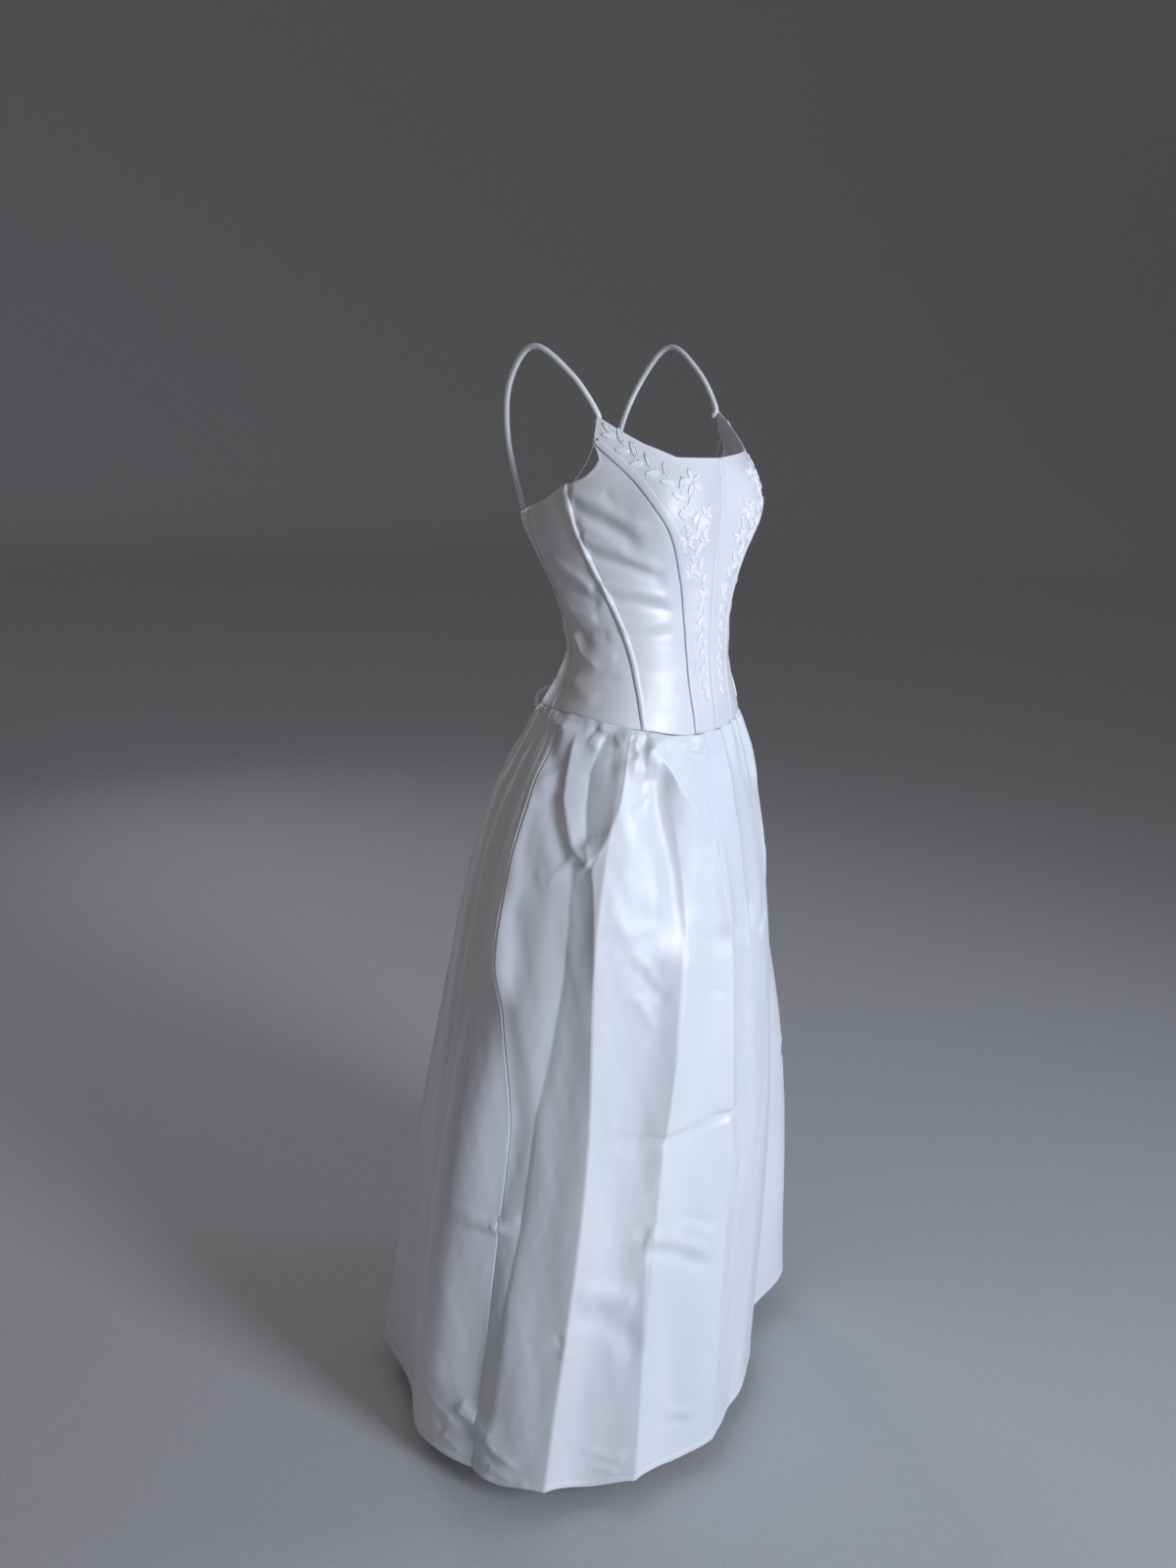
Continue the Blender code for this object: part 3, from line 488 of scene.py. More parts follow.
def crease_rows(crest: Crest, *rows: Sequence) -> tuple[Crease, ...]:
    """Creases from rows of numbers.

    Args:
        crest: how the tops of all of them look.
        rows: depth, plus, minus, fade_in and fade_out in millimetres, and then the points of
            the line, each in degrees and in millimetres under the origin.

    Returns:
        The creases, in the order of the rows.
    """
    found = []
    for depth, plus, minus, fade_in, fade_out, *points in rows:
        line = tuple((angle, -drop * MM) for angle, drop in points)
        found.append(Crease(line, depth, plus, minus, crest, fade_in, fade_out))
    return tuple(found)


def crease_relief(placed: Sequence[Crease], angle: Array, z: Array, form: DressForm) -> Array:
    """Relief of many creases over a surface.

    Args:
        placed: the creases.
        angle: degrees of each point.
        z: height of each point.
        form: gives the metres in a degree.

    Returns:
        Metres outwards at each point.
    """
    relief = np.zeros_like(z)
    metres = np.radians(1.0) * form.radius(z)
    for crease in placed:
        line = np.array(crease.line)
        reach = CREASE_REACH * max(crease.plus, crease.minus) * MM
        low_z = line[:, 1].min() - reach
        high_z = line[:, 1].max() + reach
        margin = np.degrees(reach / LEAST_RADIUS)
        near = ((z > low_z) & (z < high_z) & (angle > line[:, 0].min() - margin)
                & (angle < line[:, 0].max() + margin))
        if not near.any():
            continue
        relief[near] += one_relief(crease, line, angle[near], z[near], metres[near])
    return relief


def one_relief(crease: Crease, line: Array, angle: Array, z: Array, metres: Array) -> Array:
    """Relief of one crease at a list of points.

    Args:
        crease: the crease.
        line: its chain as an array.
        angle: degrees of each point.
        z: heights.
        metres: metres in a degree at each point.

    Returns:
        Metres outwards.
    """
    best = np.full(z.shape, 1e9)
    signed = np.zeros(z.shape)
    along = np.zeros(z.shape)
    run = 0.0
    for (angle_a, z_a), (angle_b, z_b) in zip(line[:-1], line[1:]):
        du = (angle_b - angle_a) * metres
        dv = z_b - z_a
        pu = (angle - angle_a) * metres
        pv = z - z_a
        length2 = du * du + dv * dv
        t = np.clip((pu * du + pv * dv) / length2, 0.0, 1.0)
        gap = np.hypot(pu - t * du, pv - t * dv)
        closer = gap < best
        best = np.where(closer, gap, best)
        length = np.sqrt(length2)
        signed = np.where(closer, du * pv - dv * pu, signed)
        along = np.where(closer, run + t * length, along)
        run = run + length
    width = np.where(signed > 0, crease.plus, crease.minus) * MM
    shape = np.exp(-(best / width) ** crease.crest.value)
    rise = ease(along / (crease.fade_in * MM))
    fall = ease((run - along) / (crease.fade_out * MM))
    return crease.depth * MM * shape * rise * fall


def gentle_waves(u: Array, v: Array, seed: int, height: float, longest: float,
                 stretch: float) -> Array:
    """Uneven low waves of cloth, a sum of twelve sines with fixed chances.

    Args:
        u: metres across.
        v: metres along.
        seed: picks the waves.
        height: rough height in metres.
        longest: longest wave in metres.
        stretch: how much longer the waves are along v than across u.

    Returns:
        Metres outwards.
    """
    chance = np.random.default_rng(seed)
    total = np.zeros_like(u)
    for _ in range(12):
        wave = longest * chance.uniform(0.3, 1.0)
        turn = chance.uniform(-0.5, 0.5)
        phase = chance.uniform(0, 2 * math.pi)
        slant = chance.uniform(-0.3, 0.3)
        way = u * math.cos(turn) + v * math.sin(turn) / stretch + v * slant / stretch
        total = total + (wave / longest) * np.sin(2 * math.pi * way / wave + phase)
    return total * height / 3.0


def linear(hex_colour: str) -> tuple[float, float, float, float]:
    """Turn an sRGB hex colour into the linear colour that shaders take.

    Args:
        hex_colour: six hex digits.

    Returns:
        Linear red, green and blue, and alpha 1.
    """
    parts = [int(hex_colour[k:k + 2], 16) / 255 for k in (0, 2, 4)]
    turned = [c / 12.92 if c <= 0.04045 else ((c + 0.055) / 1.055) ** 2.4 for c in parts]
    return (*turned, 1.0)


class Finish:
    """One material and its node tree."""

    def __init__(self, name: str) -> None:
        """Start a material with a bare shader.

        Args:
            name: the material's name.
        """
        self.material = bpy.data.materials.new(name)
        self.material.use_nodes = True
        self.tree = self.material.node_tree
        self.shader = self.tree.nodes["Principled BSDF"]

    def node(self, kind: str, inputs: dict | None = None, **settings: object) -> bpy.types.Node:
        """Add a node, set it and link it.

        Args:
            kind: the node's type.
            inputs: by input name, a socket to link or a value to set.
            settings: the node's own settings.

        Returns:
            The node.
        """
        made = self.tree.nodes.new(kind)
        for name, value in settings.items():
            setattr(made, name, value)
        for name, value in (inputs or {}).items():
            self.feed(made.inputs[name], value)
        return made

    def feed(self, socket: bpy.types.NodeSocket, value: object) -> None:
        """Link a socket to another, or set its value.

        Args:
            socket: the socket to feed.
            value: a socket, or the value.
        """
        if isinstance(value, bpy.types.NodeSocket):
            self.tree.links.new(value, socket)
        else:
            socket.default_value = value

    def shade(self, **values: object) -> None:
        """Set or link the shader's sockets, named with _ for each space."""
        for name, value in values.items():
            self.feed(self.shader.inputs[name.replace("_", " ")], value)

    def noise(self, where: bpy.types.NodeSocket, size: float, detail: float = 2.0,
              stretch: tuple[float, float, float] = (1, 1, 1)) -> bpy.types.NodeSocket:
        """Noise whose grains are size metres, stretched along the axes.

        Args:
            where: coordinates in metres.
            size: grain size in metres.
            detail: octaves.
            stretch: how many times longer the grains are along each axis.

        Returns:
            The noise's value socket, 0 to 1.
        """
        scale = tuple(1.0 / (size * s) for s in stretch)
        mapped = self.node("ShaderNodeMapping", {"Vector": where, "Scale": scale})
        made = self.node("ShaderNodeTexNoise", {"Vector": mapped.outputs["Vector"], "Scale": 1.0,
                                                "Detail": detail})
        return made.outputs["Fac"]

    def bump(self, height: bpy.types.NodeSocket, distance: float,
             below: bpy.types.NodeSocket | None = None) -> bpy.types.NodeSocket:
        """Bump the surface.

        Args:
            height: 0 to 1.
            distance: metres that 1 stands for.
            below: the normal that it is laid on, or nothing.

        Returns:
            The normal's socket.
        """
        inputs = {"Height": height, "Distance": distance, "Strength": 1.0}
        if below is not None:
            inputs["Normal"] = below
        return self.node("ShaderNodeBump", inputs).outputs["Normal"]

    def between(self, fac: bpy.types.NodeSocket, low: str, high: str) -> bpy.types.NodeSocket:
        """Colour that runs from one to another as fac rises over its middle range.

        Args:
            fac: 0 to 1.
            low: hex colour below the range.
            high: hex colour above it.

        Returns:
            The colour's socket.
        """
        ramp = self.node("ShaderNodeValToRGB", {"Fac": fac})
        for element, position, colour in zip(ramp.color_ramp.elements, NOISE_RANGE, (low, high)):
            element.position = position
            element.color = linear(colour)
        return ramp.outputs["Color"]

    def ranged(self, fac: bpy.types.NodeSocket, low: float, high: float) -> bpy.types.NodeSocket:
        """Number that runs from one to another as fac rises over its middle range.

        Args:
            fac: 0 to 1.
            low: the number below the range.
            high: the number above it.

        Returns:
            The number's socket.
        """
        start, stop = NOISE_RANGE
        made = self.node("ShaderNodeMapRange", {"Value": fac, "From Min": start, "From Max": stop,
                                                "To Min": low, "To Max": high})
        return made.outputs["Result"]


@dataclass(frozen=True)
class DuchessSatin:
    """Heavy polyester satin: a smooth face of long warp floats, woven 0.3 mm a thread.

    Attributes:
        name: the material's name.
        light: colour of the cloth where its grain is lightest.
        deep: colour where it is darkest.
        crumple: depth in metres of the small handling creases.
        rough: lowest and highest roughness.
    """

    name: str
    light: str
    deep: str
    crumple: float
    rough: tuple[float, float]

    def make(self) -> bpy.types.Material:
        """Build the material on object coordinates and the cloth's own UV.

        Patches of tint and sheen lie over soft and small handling creases, and the woven
        floats, 0.45 mm wide and nine times as long, over those.

        Returns:
            The material.
        """
        finish = Finish(self.name)
        coords = finish.node("ShaderNodeTexCoord")
        place = coords.outputs["Object"]
        weave_place = coords.outputs["UV"]
        tint = finish.noise(place, 0.11, 3.0, (1, 1, 2))
        sheen_patch = finish.noise(place, 0.035, 2.0, (1, 1, 1.6))
        soft = finish.noise(place, 0.060, 1.5, (1, 1, 1.8))
        small = finish.noise(place, 0.018, 1.0, (1, 1, 1.4))
        floats = finish.noise(weave_place, 0.00045, 1.0, (1, 9, 1))
        normal = finish.bump(soft, self.crumple * 2.2)
        normal = finish.bump(small, self.crumple * 0.42, normal)
        normal = finish.bump(floats, 0.00001, normal)
        finish.shade(Base_Color=finish.between(tint, self.deep, self.light),
                     Roughness=finish.ranged(sheen_patch, *self.rough), Normal=normal,
                     Sheen_Weight=0.06, Sheen_Roughness=0.4, Specular_IOR_Level=0.75)
        return finish.material


@dataclass(frozen=True)
class RayonThread:
    """Glossy embroidery thread, laid side by side 0.35 mm apart across each leaf."""

    name: str
    light: str
    deep: str

    def make(self) -> bpy.types.Material:
        """Build the material on the leaf's own UV, with the threads across it.

        Returns:
            The material.
        """
        finish = Finish(self.name)
        coords = finish.node("ShaderNodeTexCoord")
        threads = finish.noise(coords.outputs["UV"], 0.0004, 1.0, (1, 14, 1))
        tone = finish.noise(coords.outputs["Object"], 0.006, 2.0)
        finish.shade(Base_Color=finish.between(tone, self.deep, self.light),
                     Roughness=finish.ranged(threads, 0.30, 0.44),
                     Normal=finish.bump(threads, 0.00012), Sheen_Weight=0.1, Specular_IOR_Level=0.6)
        return finish.material


@dataclass(frozen=True)
class RouleauCord:
    """Bias tube of the dress's satin, turned out and pressed round."""

    name: str
    light: str
    deep: str

    def make(self) -> bpy.types.Material:
        """Build the material on the tube's UV, with slanted bias wrinkles 3 mm apart.

        Returns:
            The material.
        """
        finish = Finish(self.name)
        coords = finish.node("ShaderNodeTexCoord")
        slant = finish.node("ShaderNodeMapping", {"Vector": coords.outputs["UV"],
                                                  "Rotation": (0.0, 0.0, 0.8)})
        wrinkles = finish.noise(slant.outputs["Vector"], 0.0030, 1.0, (1, 2.5, 1))
        tint = finish.noise(coords.outputs["Object"], 0.03, 2.0)
        finish.shade(Base_Color=finish.between(tint, self.deep, self.light),
                     Roughness=finish.ranged(wrinkles, 0.34, 0.46),
                     Normal=finish.bump(wrinkles, 0.00005), Sheen_Weight=0.1,
                     Specular_IOR_Level=0.55)
        return finish.material


@dataclass(frozen=True)
class StudioPaper:
    """Matt paper of the studio floor, with a faint grain."""

    name: str
    light: str
    deep: str

    def make(self) -> bpy.types.Material:
        """Build the material on object coordinates.

        Returns:
            The material.
        """
        finish = Finish(self.name)
        coords = finish.node("ShaderNodeTexCoord")
        grain = finish.noise(coords.outputs["Object"], 0.004, 3.0)
        finish.shade(Base_Color=finish.between(grain, self.deep, self.light),
                     Roughness=0.85, Normal=finish.bump(grain, 0.0001))
        return finish.material


def dress_piece(piece: bpy.types.Object, material: bpy.types.Material, slot: str,
                *nodes: str) -> bpy.types.Object:
    """Give a piece its finish, its body and the solids that it stands for.

    Args:
        piece: the finished piece.
        material: its finish.
        slot: the record's material slot; not used.
        nodes: the solids that it replaces.

    Returns:
        The piece.
    """
    piece.data.materials.clear()
    piece.data.materials.append(material)
    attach(piece, "root")
    if nodes:
        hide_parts(*nodes)
    LOG.info("%s: %d faces", piece.name, len(piece.data.polygons))
    return piece


def turned_rim(outer_edge: Array, inner_edge: Array, rows: int, rise: float) -> Array:
    """Rows that turn from the outer edge to the inner one in a half circle.

    Args:
        outer_edge: points of the outer wall's edge.
        inner_edge: points of the inner wall's edge.
        rows: rows wanted.
        rise: how far the middle stands up, in half thicknesses.

    Returns:
        rows by points by 3, the first row nearest to the outer edge.
    """
    middle = (outer_edge + inner_edge) / 2
    half = (outer_edge - inner_edge) / 2
    depth = np.linalg.norm(half, axis=-1)[None, :, None]
    turn = np.linspace(0, math.pi, rows + 2)[1:-1, None, None]
    up = np.array([0.0, 0.0, 1.0])
    return middle[None] + half[None] * np.cos(turn) + up * depth * np.sin(turn) * rise


@dataclass
class Skirt:
    """The gathered skirt: three panels, sewn at the sides and the centre back."""

    form: DressForm
    creases: Sequence[Crease]
    wall: float = 0.0012
    hem_z: float = -1.4130
    hem_roll: float = 0.0010
    hem_width: float = 0.0075
    waist_gap: float = 0.0003
    rows: int = 288
    # how much closer the rows lie at the waist and over what share, and the same at the hem
    row_crowding: tuple[float, float, float, float] = (2.2, 0.05, 1.8, 0.03)
    rim_rows: int = 3
    rim_rise: float = -0.8
    columns_per_fold: int = 24
    back_columns_per_fold: int = 30
    ratio: int = 3
    gather_count: int = 26
    gather_depth: float = 0.0024
    gather_length: float = 0.075
    gather_start: float = 0.25
    gather_rise: float = 3.0
    gather_even_share: float = 0.65
    gather_uneven_rate: float = 2.7
    wave_height: float = 0.0012
    small_wave_share: float = 0.20
    wave_sizes: tuple[float, float] = (0.15, 0.05)
    wave_stretches: tuple[float, float] = (2.0, 1.6)
    wave_seeds: tuple[int, int] = (11, 12)
    hang_length: float = 0.10
    waist_pull: float = 0.0016
    waist_pull_reach: float = 0.0030
    hem_slope: float = 0.0012
    hem_dent: float = 0.0005
    hem_dent_gap: float = 0.0008
    hem_dent_width: float = 0.0010
    seam_dip: float = 0.0001
    seam_width: float = 0.0016
    fold_spacing: float = 0.076
    fold_heights: Array = field(default_factory=lambda: np.array([-0.45, -0.68, -0.95, -1.413]))
    # one row for each ridge or valley: its angles and its outward offsets in millimetres at
    # the four heights, the lift of the hem in millimetres, and 1 if the line is sharp
    folds: Array = field(default_factory=lambda: np.array([
        (-180.0, -180.0, -180.0, -180.0, 0.0, -4.0, -8.0, -15.0, 0.0, 0),
        (-163.0, -163.0, -162.0, -161.0, 0.0, 4.0, 10.0, 17.0, 0.0, 0),
        (-143.0, -142.0, -141.0, -141.0, 0.0, -4.0, -13.0, -26.0, 2.0, 0),
        (-120.0, -120.0, -119.0, -118.0, 0.0, 6.0, 14.0, 24.0, 4.0, 1),
        (-98.0, -95.0, -93.0, -92.0, 0.0, -3.0, -10.0, -25.0, 8.0, 0),
        (-72.0, -66.0, -60.0, -62.0, 0.0, 12.0, 38.0, 63.0, 20.0, 0),
        (-48.0, -46.0, -42.0, -44.0, 0.0, -2.0, -7.0, -32.0, 8.0, 0),
        (-30.0, -27.0, -26.0, -25.0, 0.0, 1.0, -4.0, -28.0, 3.0, 0),
        (-12.0, -9.0, -9.0, -8.0, 0.0, -2.0, -6.0, -22.0, 0.0, 0),
        (14.0, 8.5, 9.5, 10.0, 0.0, 4.0, 4.0, -5.0, 0.0, 1),
        (23.0, 17.0, 21.0, 24.0, 0.0, -2.0, -5.0, -8.0, 0.0, 0),
        (36.0, 26.0, 33.0, 36.5, 0.0, 3.0, 4.0, 6.0, 9.0, 1),
        (46.0, 42.0, 44.0, 49.0, 0.0, -3.0, -8.0, -8.0, 0.0, 0),
        (56.5, 58.5, 55.5, 60.0, 1.0, 6.0, 9.0, 12.0, 12.0, 1),
        (74.0, 70.0, 74.0, 76.0, 0.0, -4.0, -9.0, -6.0, 0.0, 0),
        (97.0, 96.0, 82.5, 84.0, 1.0, 4.0, -5.0, -19.0, 1.0, 1),
        (113.0, 112.0, 101.0, 103.0, 0.0, -4.0, 0.0, -14.0, 4.0, 0),
        (130.0, 130.0, 127.0, 126.0, 0.0, -3.0, -12.0, -36.0, 4.0, 0),
        (146.0, 146.0, 147.0, 148.0, 0.0, 0.0, -1.0, 9.0, 2.0, 1),
        (163.0, 163.0, 163.0, 164.0, 0.0, 0.0, -2.0, -4.0, 0.0, 0),
        (180.0, 180.0, 180.0, 180.0, 0.0, -4.0, -8.0, -15.0, 0.0, 0),
    ]))
    right_side_seam: int = 15
    left_side_seam: int = 4

    def hem(self, place: Array) -> Array:
        """Height of the hem at a place counted in fold lines."""
        rows = np.arange(len(self.folds))
        return self.hem_z + read_curve(np.column_stack([rows, self.folds[:, 8]]), 1, place) * MM

    def layout(self, place: Array, z: Array) -> tuple[Array, Array]:
        """Angle and outward offset of the large folds and gathers.

        Between two fold lines the offset runs straight if both are sharp, as a quarter
        sine away from a sharp one and as a half cosine between two round ones.

        Args:
            place: places counted in fold lines.
            z: heights.

        Returns:
            Degrees, and metres outwards.
        """
        last = len(self.folds) - 1
        low = np.minimum(np.floor(place).astype(int), last - 1)
        share = place - low
        angles = np.empty((last + 1,) + z.shape)
        outs = np.empty((last + 1,) + z.shape)
        for row in range(int(low.min()), int(low.max()) + 2):
            fold = self.folds[row]
            angles[row] = read_curve(np.column_stack([self.fold_heights, fold[0:4]]), 1, z)
            outs[row] = read_curve(np.column_stack([self.fold_heights, fold[4:8]]), 1, z) * MM
        pick = np.expand_dims(low, 0)
        angle_a, angle_b = (np.take_along_axis(angles, pick + k, 0)[0] for k in (0, 1))
        out_a, out_b = (np.take_along_axis(outs, pick + k, 0)[0] for k in (0, 1))
        sharp_a, sharp_b = (self.folds[low + k, 9] > 0 for k in (0, 1))
        quarter = share * math.pi / 2
        blend = np.where(sharp_a, np.where(sharp_b, share, np.sin(quarter)),
                         np.where(sharp_b, 1 - np.cos(quarter), (1 - np.cos(2 * quarter)) / 2))
        angle = angle_a + (angle_b - angle_a) * share
        out = out_a + (out_b - out_a) * blend
        down = np.clip((self.form.waist(angle) - z) / self.gather_length, 0.0, 1.0)
        swell = (self.gather_start + self.gather_rise * down) * (1 - down) ** 2
        wave = np.cos(2 * math.pi * self.gather_count * place / last)
        uneven = (1 - self.gather_even_share) * np.sin(place * self.gather_uneven_rate)
        return angle, out + self.gather_depth * swell * wave * (self.gather_even_share + uneven)

    def detail(self, angle: Array, z: Array, hem: Array) -> Array:
        """Creases, low waves, the pull at the waist seam and the hem's roll.

        Args:
            angle: degrees.
            z: heights.
            hem: height of the hem at each point.

        Returns:
            Metres outwards.
        """
        relief = crease_relief(self.creases, angle, z, self.form)
        metres = np.radians(angle) * self.form.radius(z)
        below_waist = self.form.waist(angle) - z
        hang = ease(below_waist / self.hang_length)
        heights = (self.wave_height, self.wave_height * self.small_wave_share)
        for wave in zip(self.wave_seeds, heights, self.wave_sizes, self.wave_stretches):
            relief += hang * gentle_waves(metres, z, *wave)
        relief -= self.waist_pull * np.exp(-below_waist / self.waist_pull_reach)
        over_roll = z - hem - self.hem_width
        relief += self.hem_roll * ease(-over_roll / self.hem_slope)
        dent = (over_roll - self.hem_dent_gap) / self.hem_dent_width
        relief -= self.hem_dent * np.exp(-dent ** 2)
        return relief

    def surface(self, angle: Array, out: Array, z: Array) -> Array:
        """Points of the skirt.

        Args:
            angle: degrees.
            out: metres that the point is moved level outwards.
            z: heights.

        Returns:
            Points, with 3 coordinates on a last axis.
        """
        base = self.form.point(angle, z)
        centre = read_curve(self.form.sections, 4, z)
        away = unit(np.stack([base[..., 0], base[..., 1] - centre], -1))
        x, y = (base[..., axis] + out * away[..., axis] for axis in (0, 1))
        return np.stack([x, y, z], -1)

    def row_shares(self) -> Array:
        """Rows from the waist to the hem, closer together at both ends.

        Returns:
            Shares of the way down, 0 to 1.
        """
        even = np.linspace(0.0, 1.0, self.rows - self.rim_rows + 1)
        waist_crowd, waist_reach, hem_crowd, hem_reach = self.row_crowding
        crowd = 1.0 / (1.0 + waist_crowd * np.exp(-even / waist_reach)
                       + hem_crowd * np.exp(-(1 - even) / hem_reach))
        run = np.concatenate([[0.0], np.cumsum((crowd[1:] + crowd[:-1]) / 2)])
        return run / run[-1]

    def panel(self, name: str, first: int, last: int, material: bpy.types.Material,
              per_fold: int) -> tuple[bpy.types.Object, Array]:
        """One panel between two fold lines, as a closed thin wall.

        Args:
            name: the node that it replaces and is named for.
            first: fold line at its one side seam.
            last: fold line at the other.
            material: the satin.
            per_fold: columns between two fold lines.

        Returns:
            The piece, and its outer points.
        """
        place = np.linspace(first, last, (last - first) * per_fold + 1)
        rows = np.arange(len(self.folds))
        lines = read_curve(np.column_stack([rows, self.folds[:, 0]]), 1, place)
        top = self.form.waist(lines) - self.waist_gap
        hem = self.hem(place)
        z = top[None, :] + (hem - top)[None, :] * self.row_shares()[:, None]
        place_grid = np.repeat(place[None, :], len(z), 0)
        angle, out = self.layout(place_grid, z)
        relief = self.detail(angle, z, hem[None, :])
        sides = np.minimum(place - first, last - place)[None, :] * self.fold_spacing
        relief -= self.seam_dip * np.exp(-(sides / self.seam_width) ** 2)
        outer = self.surface(angle, out + relief, z)
        low = lowest_nearby(relief, self.ratio)
        inner = self.surface(angle, out + low - self.wall, z)
        rim = turned_rim(outer[-1], inner[-1], self.rim_rows, self.rim_rise)
        outer = np.concatenate([outer, rim])
        uv = cloth_uv(outer)
        inner = MeshMaker.thinned(inner, len(outer), self.ratio)
        piece = MeshMaker.shell(name + "_satin", outer, inner, uv, self.ratio)
        dress_piece(piece, material, "skirt_satin", name)
        return piece, outer

    def build(self, material: bpy.types.Material) -> None:
        """Make the three panels.

        Args:
            material: the satin.
        """
        left, right, last = self.left_side_seam, self.right_side_seam, len(self.folds) - 1
        columns = self.back_columns_per_fold
        self.panel("skirt_front", left, right, material, self.columns_per_fold)
        self.panel("skirt_back_right", right, last, material, columns)
        self.panel("skirt_back_left", 0, left, material, columns)


def lowest_nearby(values: Array, reach: int) -> Array:
    """Lowest value near each point of a grid.

    Args:
        values: rows by columns.
        reach: how many rows and columns away it looks.

    Returns:
        rows by columns.
    """
    low = values
    for axis in (0, 1):
        padded = np.concatenate([np.take(low, [0] * reach, axis), low,
                                 np.take(low, [-1] * reach, axis)], axis)
        count = low.shape[axis]
        shifted = [np.take(padded, np.arange(k, k + count), axis) for k in range(2 * reach + 1)]
        low = np.minimum.reduce(shifted)
    return low


def cloth_uv(points: Array) -> Array:
    """Metres across and down a grid of points, as the cloth lies flat.

    u is the run along the middle row and v the run down each column.

    Args:
        points: rows by columns by 3.

    Returns:
        rows by columns by 2.
    """
    u = run_along(points[len(points) // 2])
    down = np.linalg.norm(np.diff(points, axis=0), axis=-1)
    v = np.concatenate([np.zeros((1, points.shape[1])), np.cumsum(down, axis=0)])
    return np.stack([np.repeat(u[None, :], len(points), 0), -v], -1)


@dataclass(frozen=True)
class Seam:
    """A seam of the bodice's right half, as a table of height and angle."""

    table: tuple[tuple[float, float], ...]

    def angle(self, z: Array) -> Array:
        """Angle of the seam at a height."""
        return read_curve(np.array(self.table), 1, z)

    def ends(self, form: DressForm) -> tuple[float, float]:
        """Angles at which it meets the upper edge and the waist seam.

        Args:
            form: the dress form.

        Returns:
            The upper angle and the lower one.
        """
        heights = np.array(self.table)[:, 0]
        zs = np.linspace(heights.max(), heights.min(), 400)
        angles = self.angle(zs)
        start = angles[np.argmin(np.abs(zs - form.top(angles)))]
        end = angles[np.argmin(np.abs(zs - form.waist(angles)))]
        return float(start), float(end)

    def beside(self, form: DressForm, offsets: Array, rows: int) -> tuple[Array, Array]:
        """Lines beside the seam, from the upper edge to the waist seam.

        Each lies at a fixed distance square to the seam, in metres on the form.

        Args:
            form: the dress form.
            offsets: distances in metres, above 0 towards larger angles.
            rows: points wanted down each line.

        Returns:
            Angles and heights, rows by lines.
        """
        heights = np.array(self.table)[:, 0]
        zs = np.linspace(heights.max() + 0.012, heights.min() - 0.012, 500)
        metres = np.radians(1.0) * form.radius(zs)
        angle = self.angle(zs)
        slope = np.gradient(angle * metres, zs)
        across = 1.0 / np.sqrt(1 + slope ** 2)
        angles = []
        levels = []
        for offset in offsets:
            line_angle = angle + offset * across / metres
            line_z = zs - offset * slope * across
            inside = ((line_z <= form.top(line_angle)) & (line_z >= form.waist(line_angle)))
            keep = np.flatnonzero(inside)
            want = np.linspace(keep[0], keep[-1], rows)
            angles.append(np.interp(want, np.arange(len(zs)), line_angle))
            levels.append(np.interp(want, np.arange(len(zs)), line_z))
        return np.stack(angles, 1), np.stack(levels, 1)


PRINCESS_SEAM = Seam(((-0.1000, 75.2), (-0.1150, 66.8), (-0.1290, 58.8), (-0.1460, 50.6),
                      (-0.1680, 43.2), (-0.1950, 36.2), (-0.2330, 30.7), (-0.2750, 27.0),
                      (-0.3260, 24.3), (-0.3760, 21.8), (-0.4450, 17.1)))
SIDE_FRONT_SEAM = Seam(((-0.1500, 92.8), (-0.1660, 91.6), (-0.1870, 88.8), (-0.2110, 84.2),
                        (-0.2410, 78.2), (-0.2700, 72.4), (-0.3140, 64.9), (-0.3620, 58.0),
                        (-0.3920, 53.2), (-0.4330, 46.9)))
SIDE_BACK_SEAM = Seam(((-0.1840, 121.0), (-0.2400, 121.0), (-0.3000, 118.5), (-0.3600, 115.0),
                       (-0.4230, 111.0)))
BACK_EDGE = Seam(((-0.1980, 161.0), (-0.2500, 160.5), (-0.3000, 160.0), (-0.3600, 160.5),
                  (-0.4280, 163.0)))
CENTRE_FRONT = Seam(((-0.1190, 0.0), (-0.4460, 0.0)))


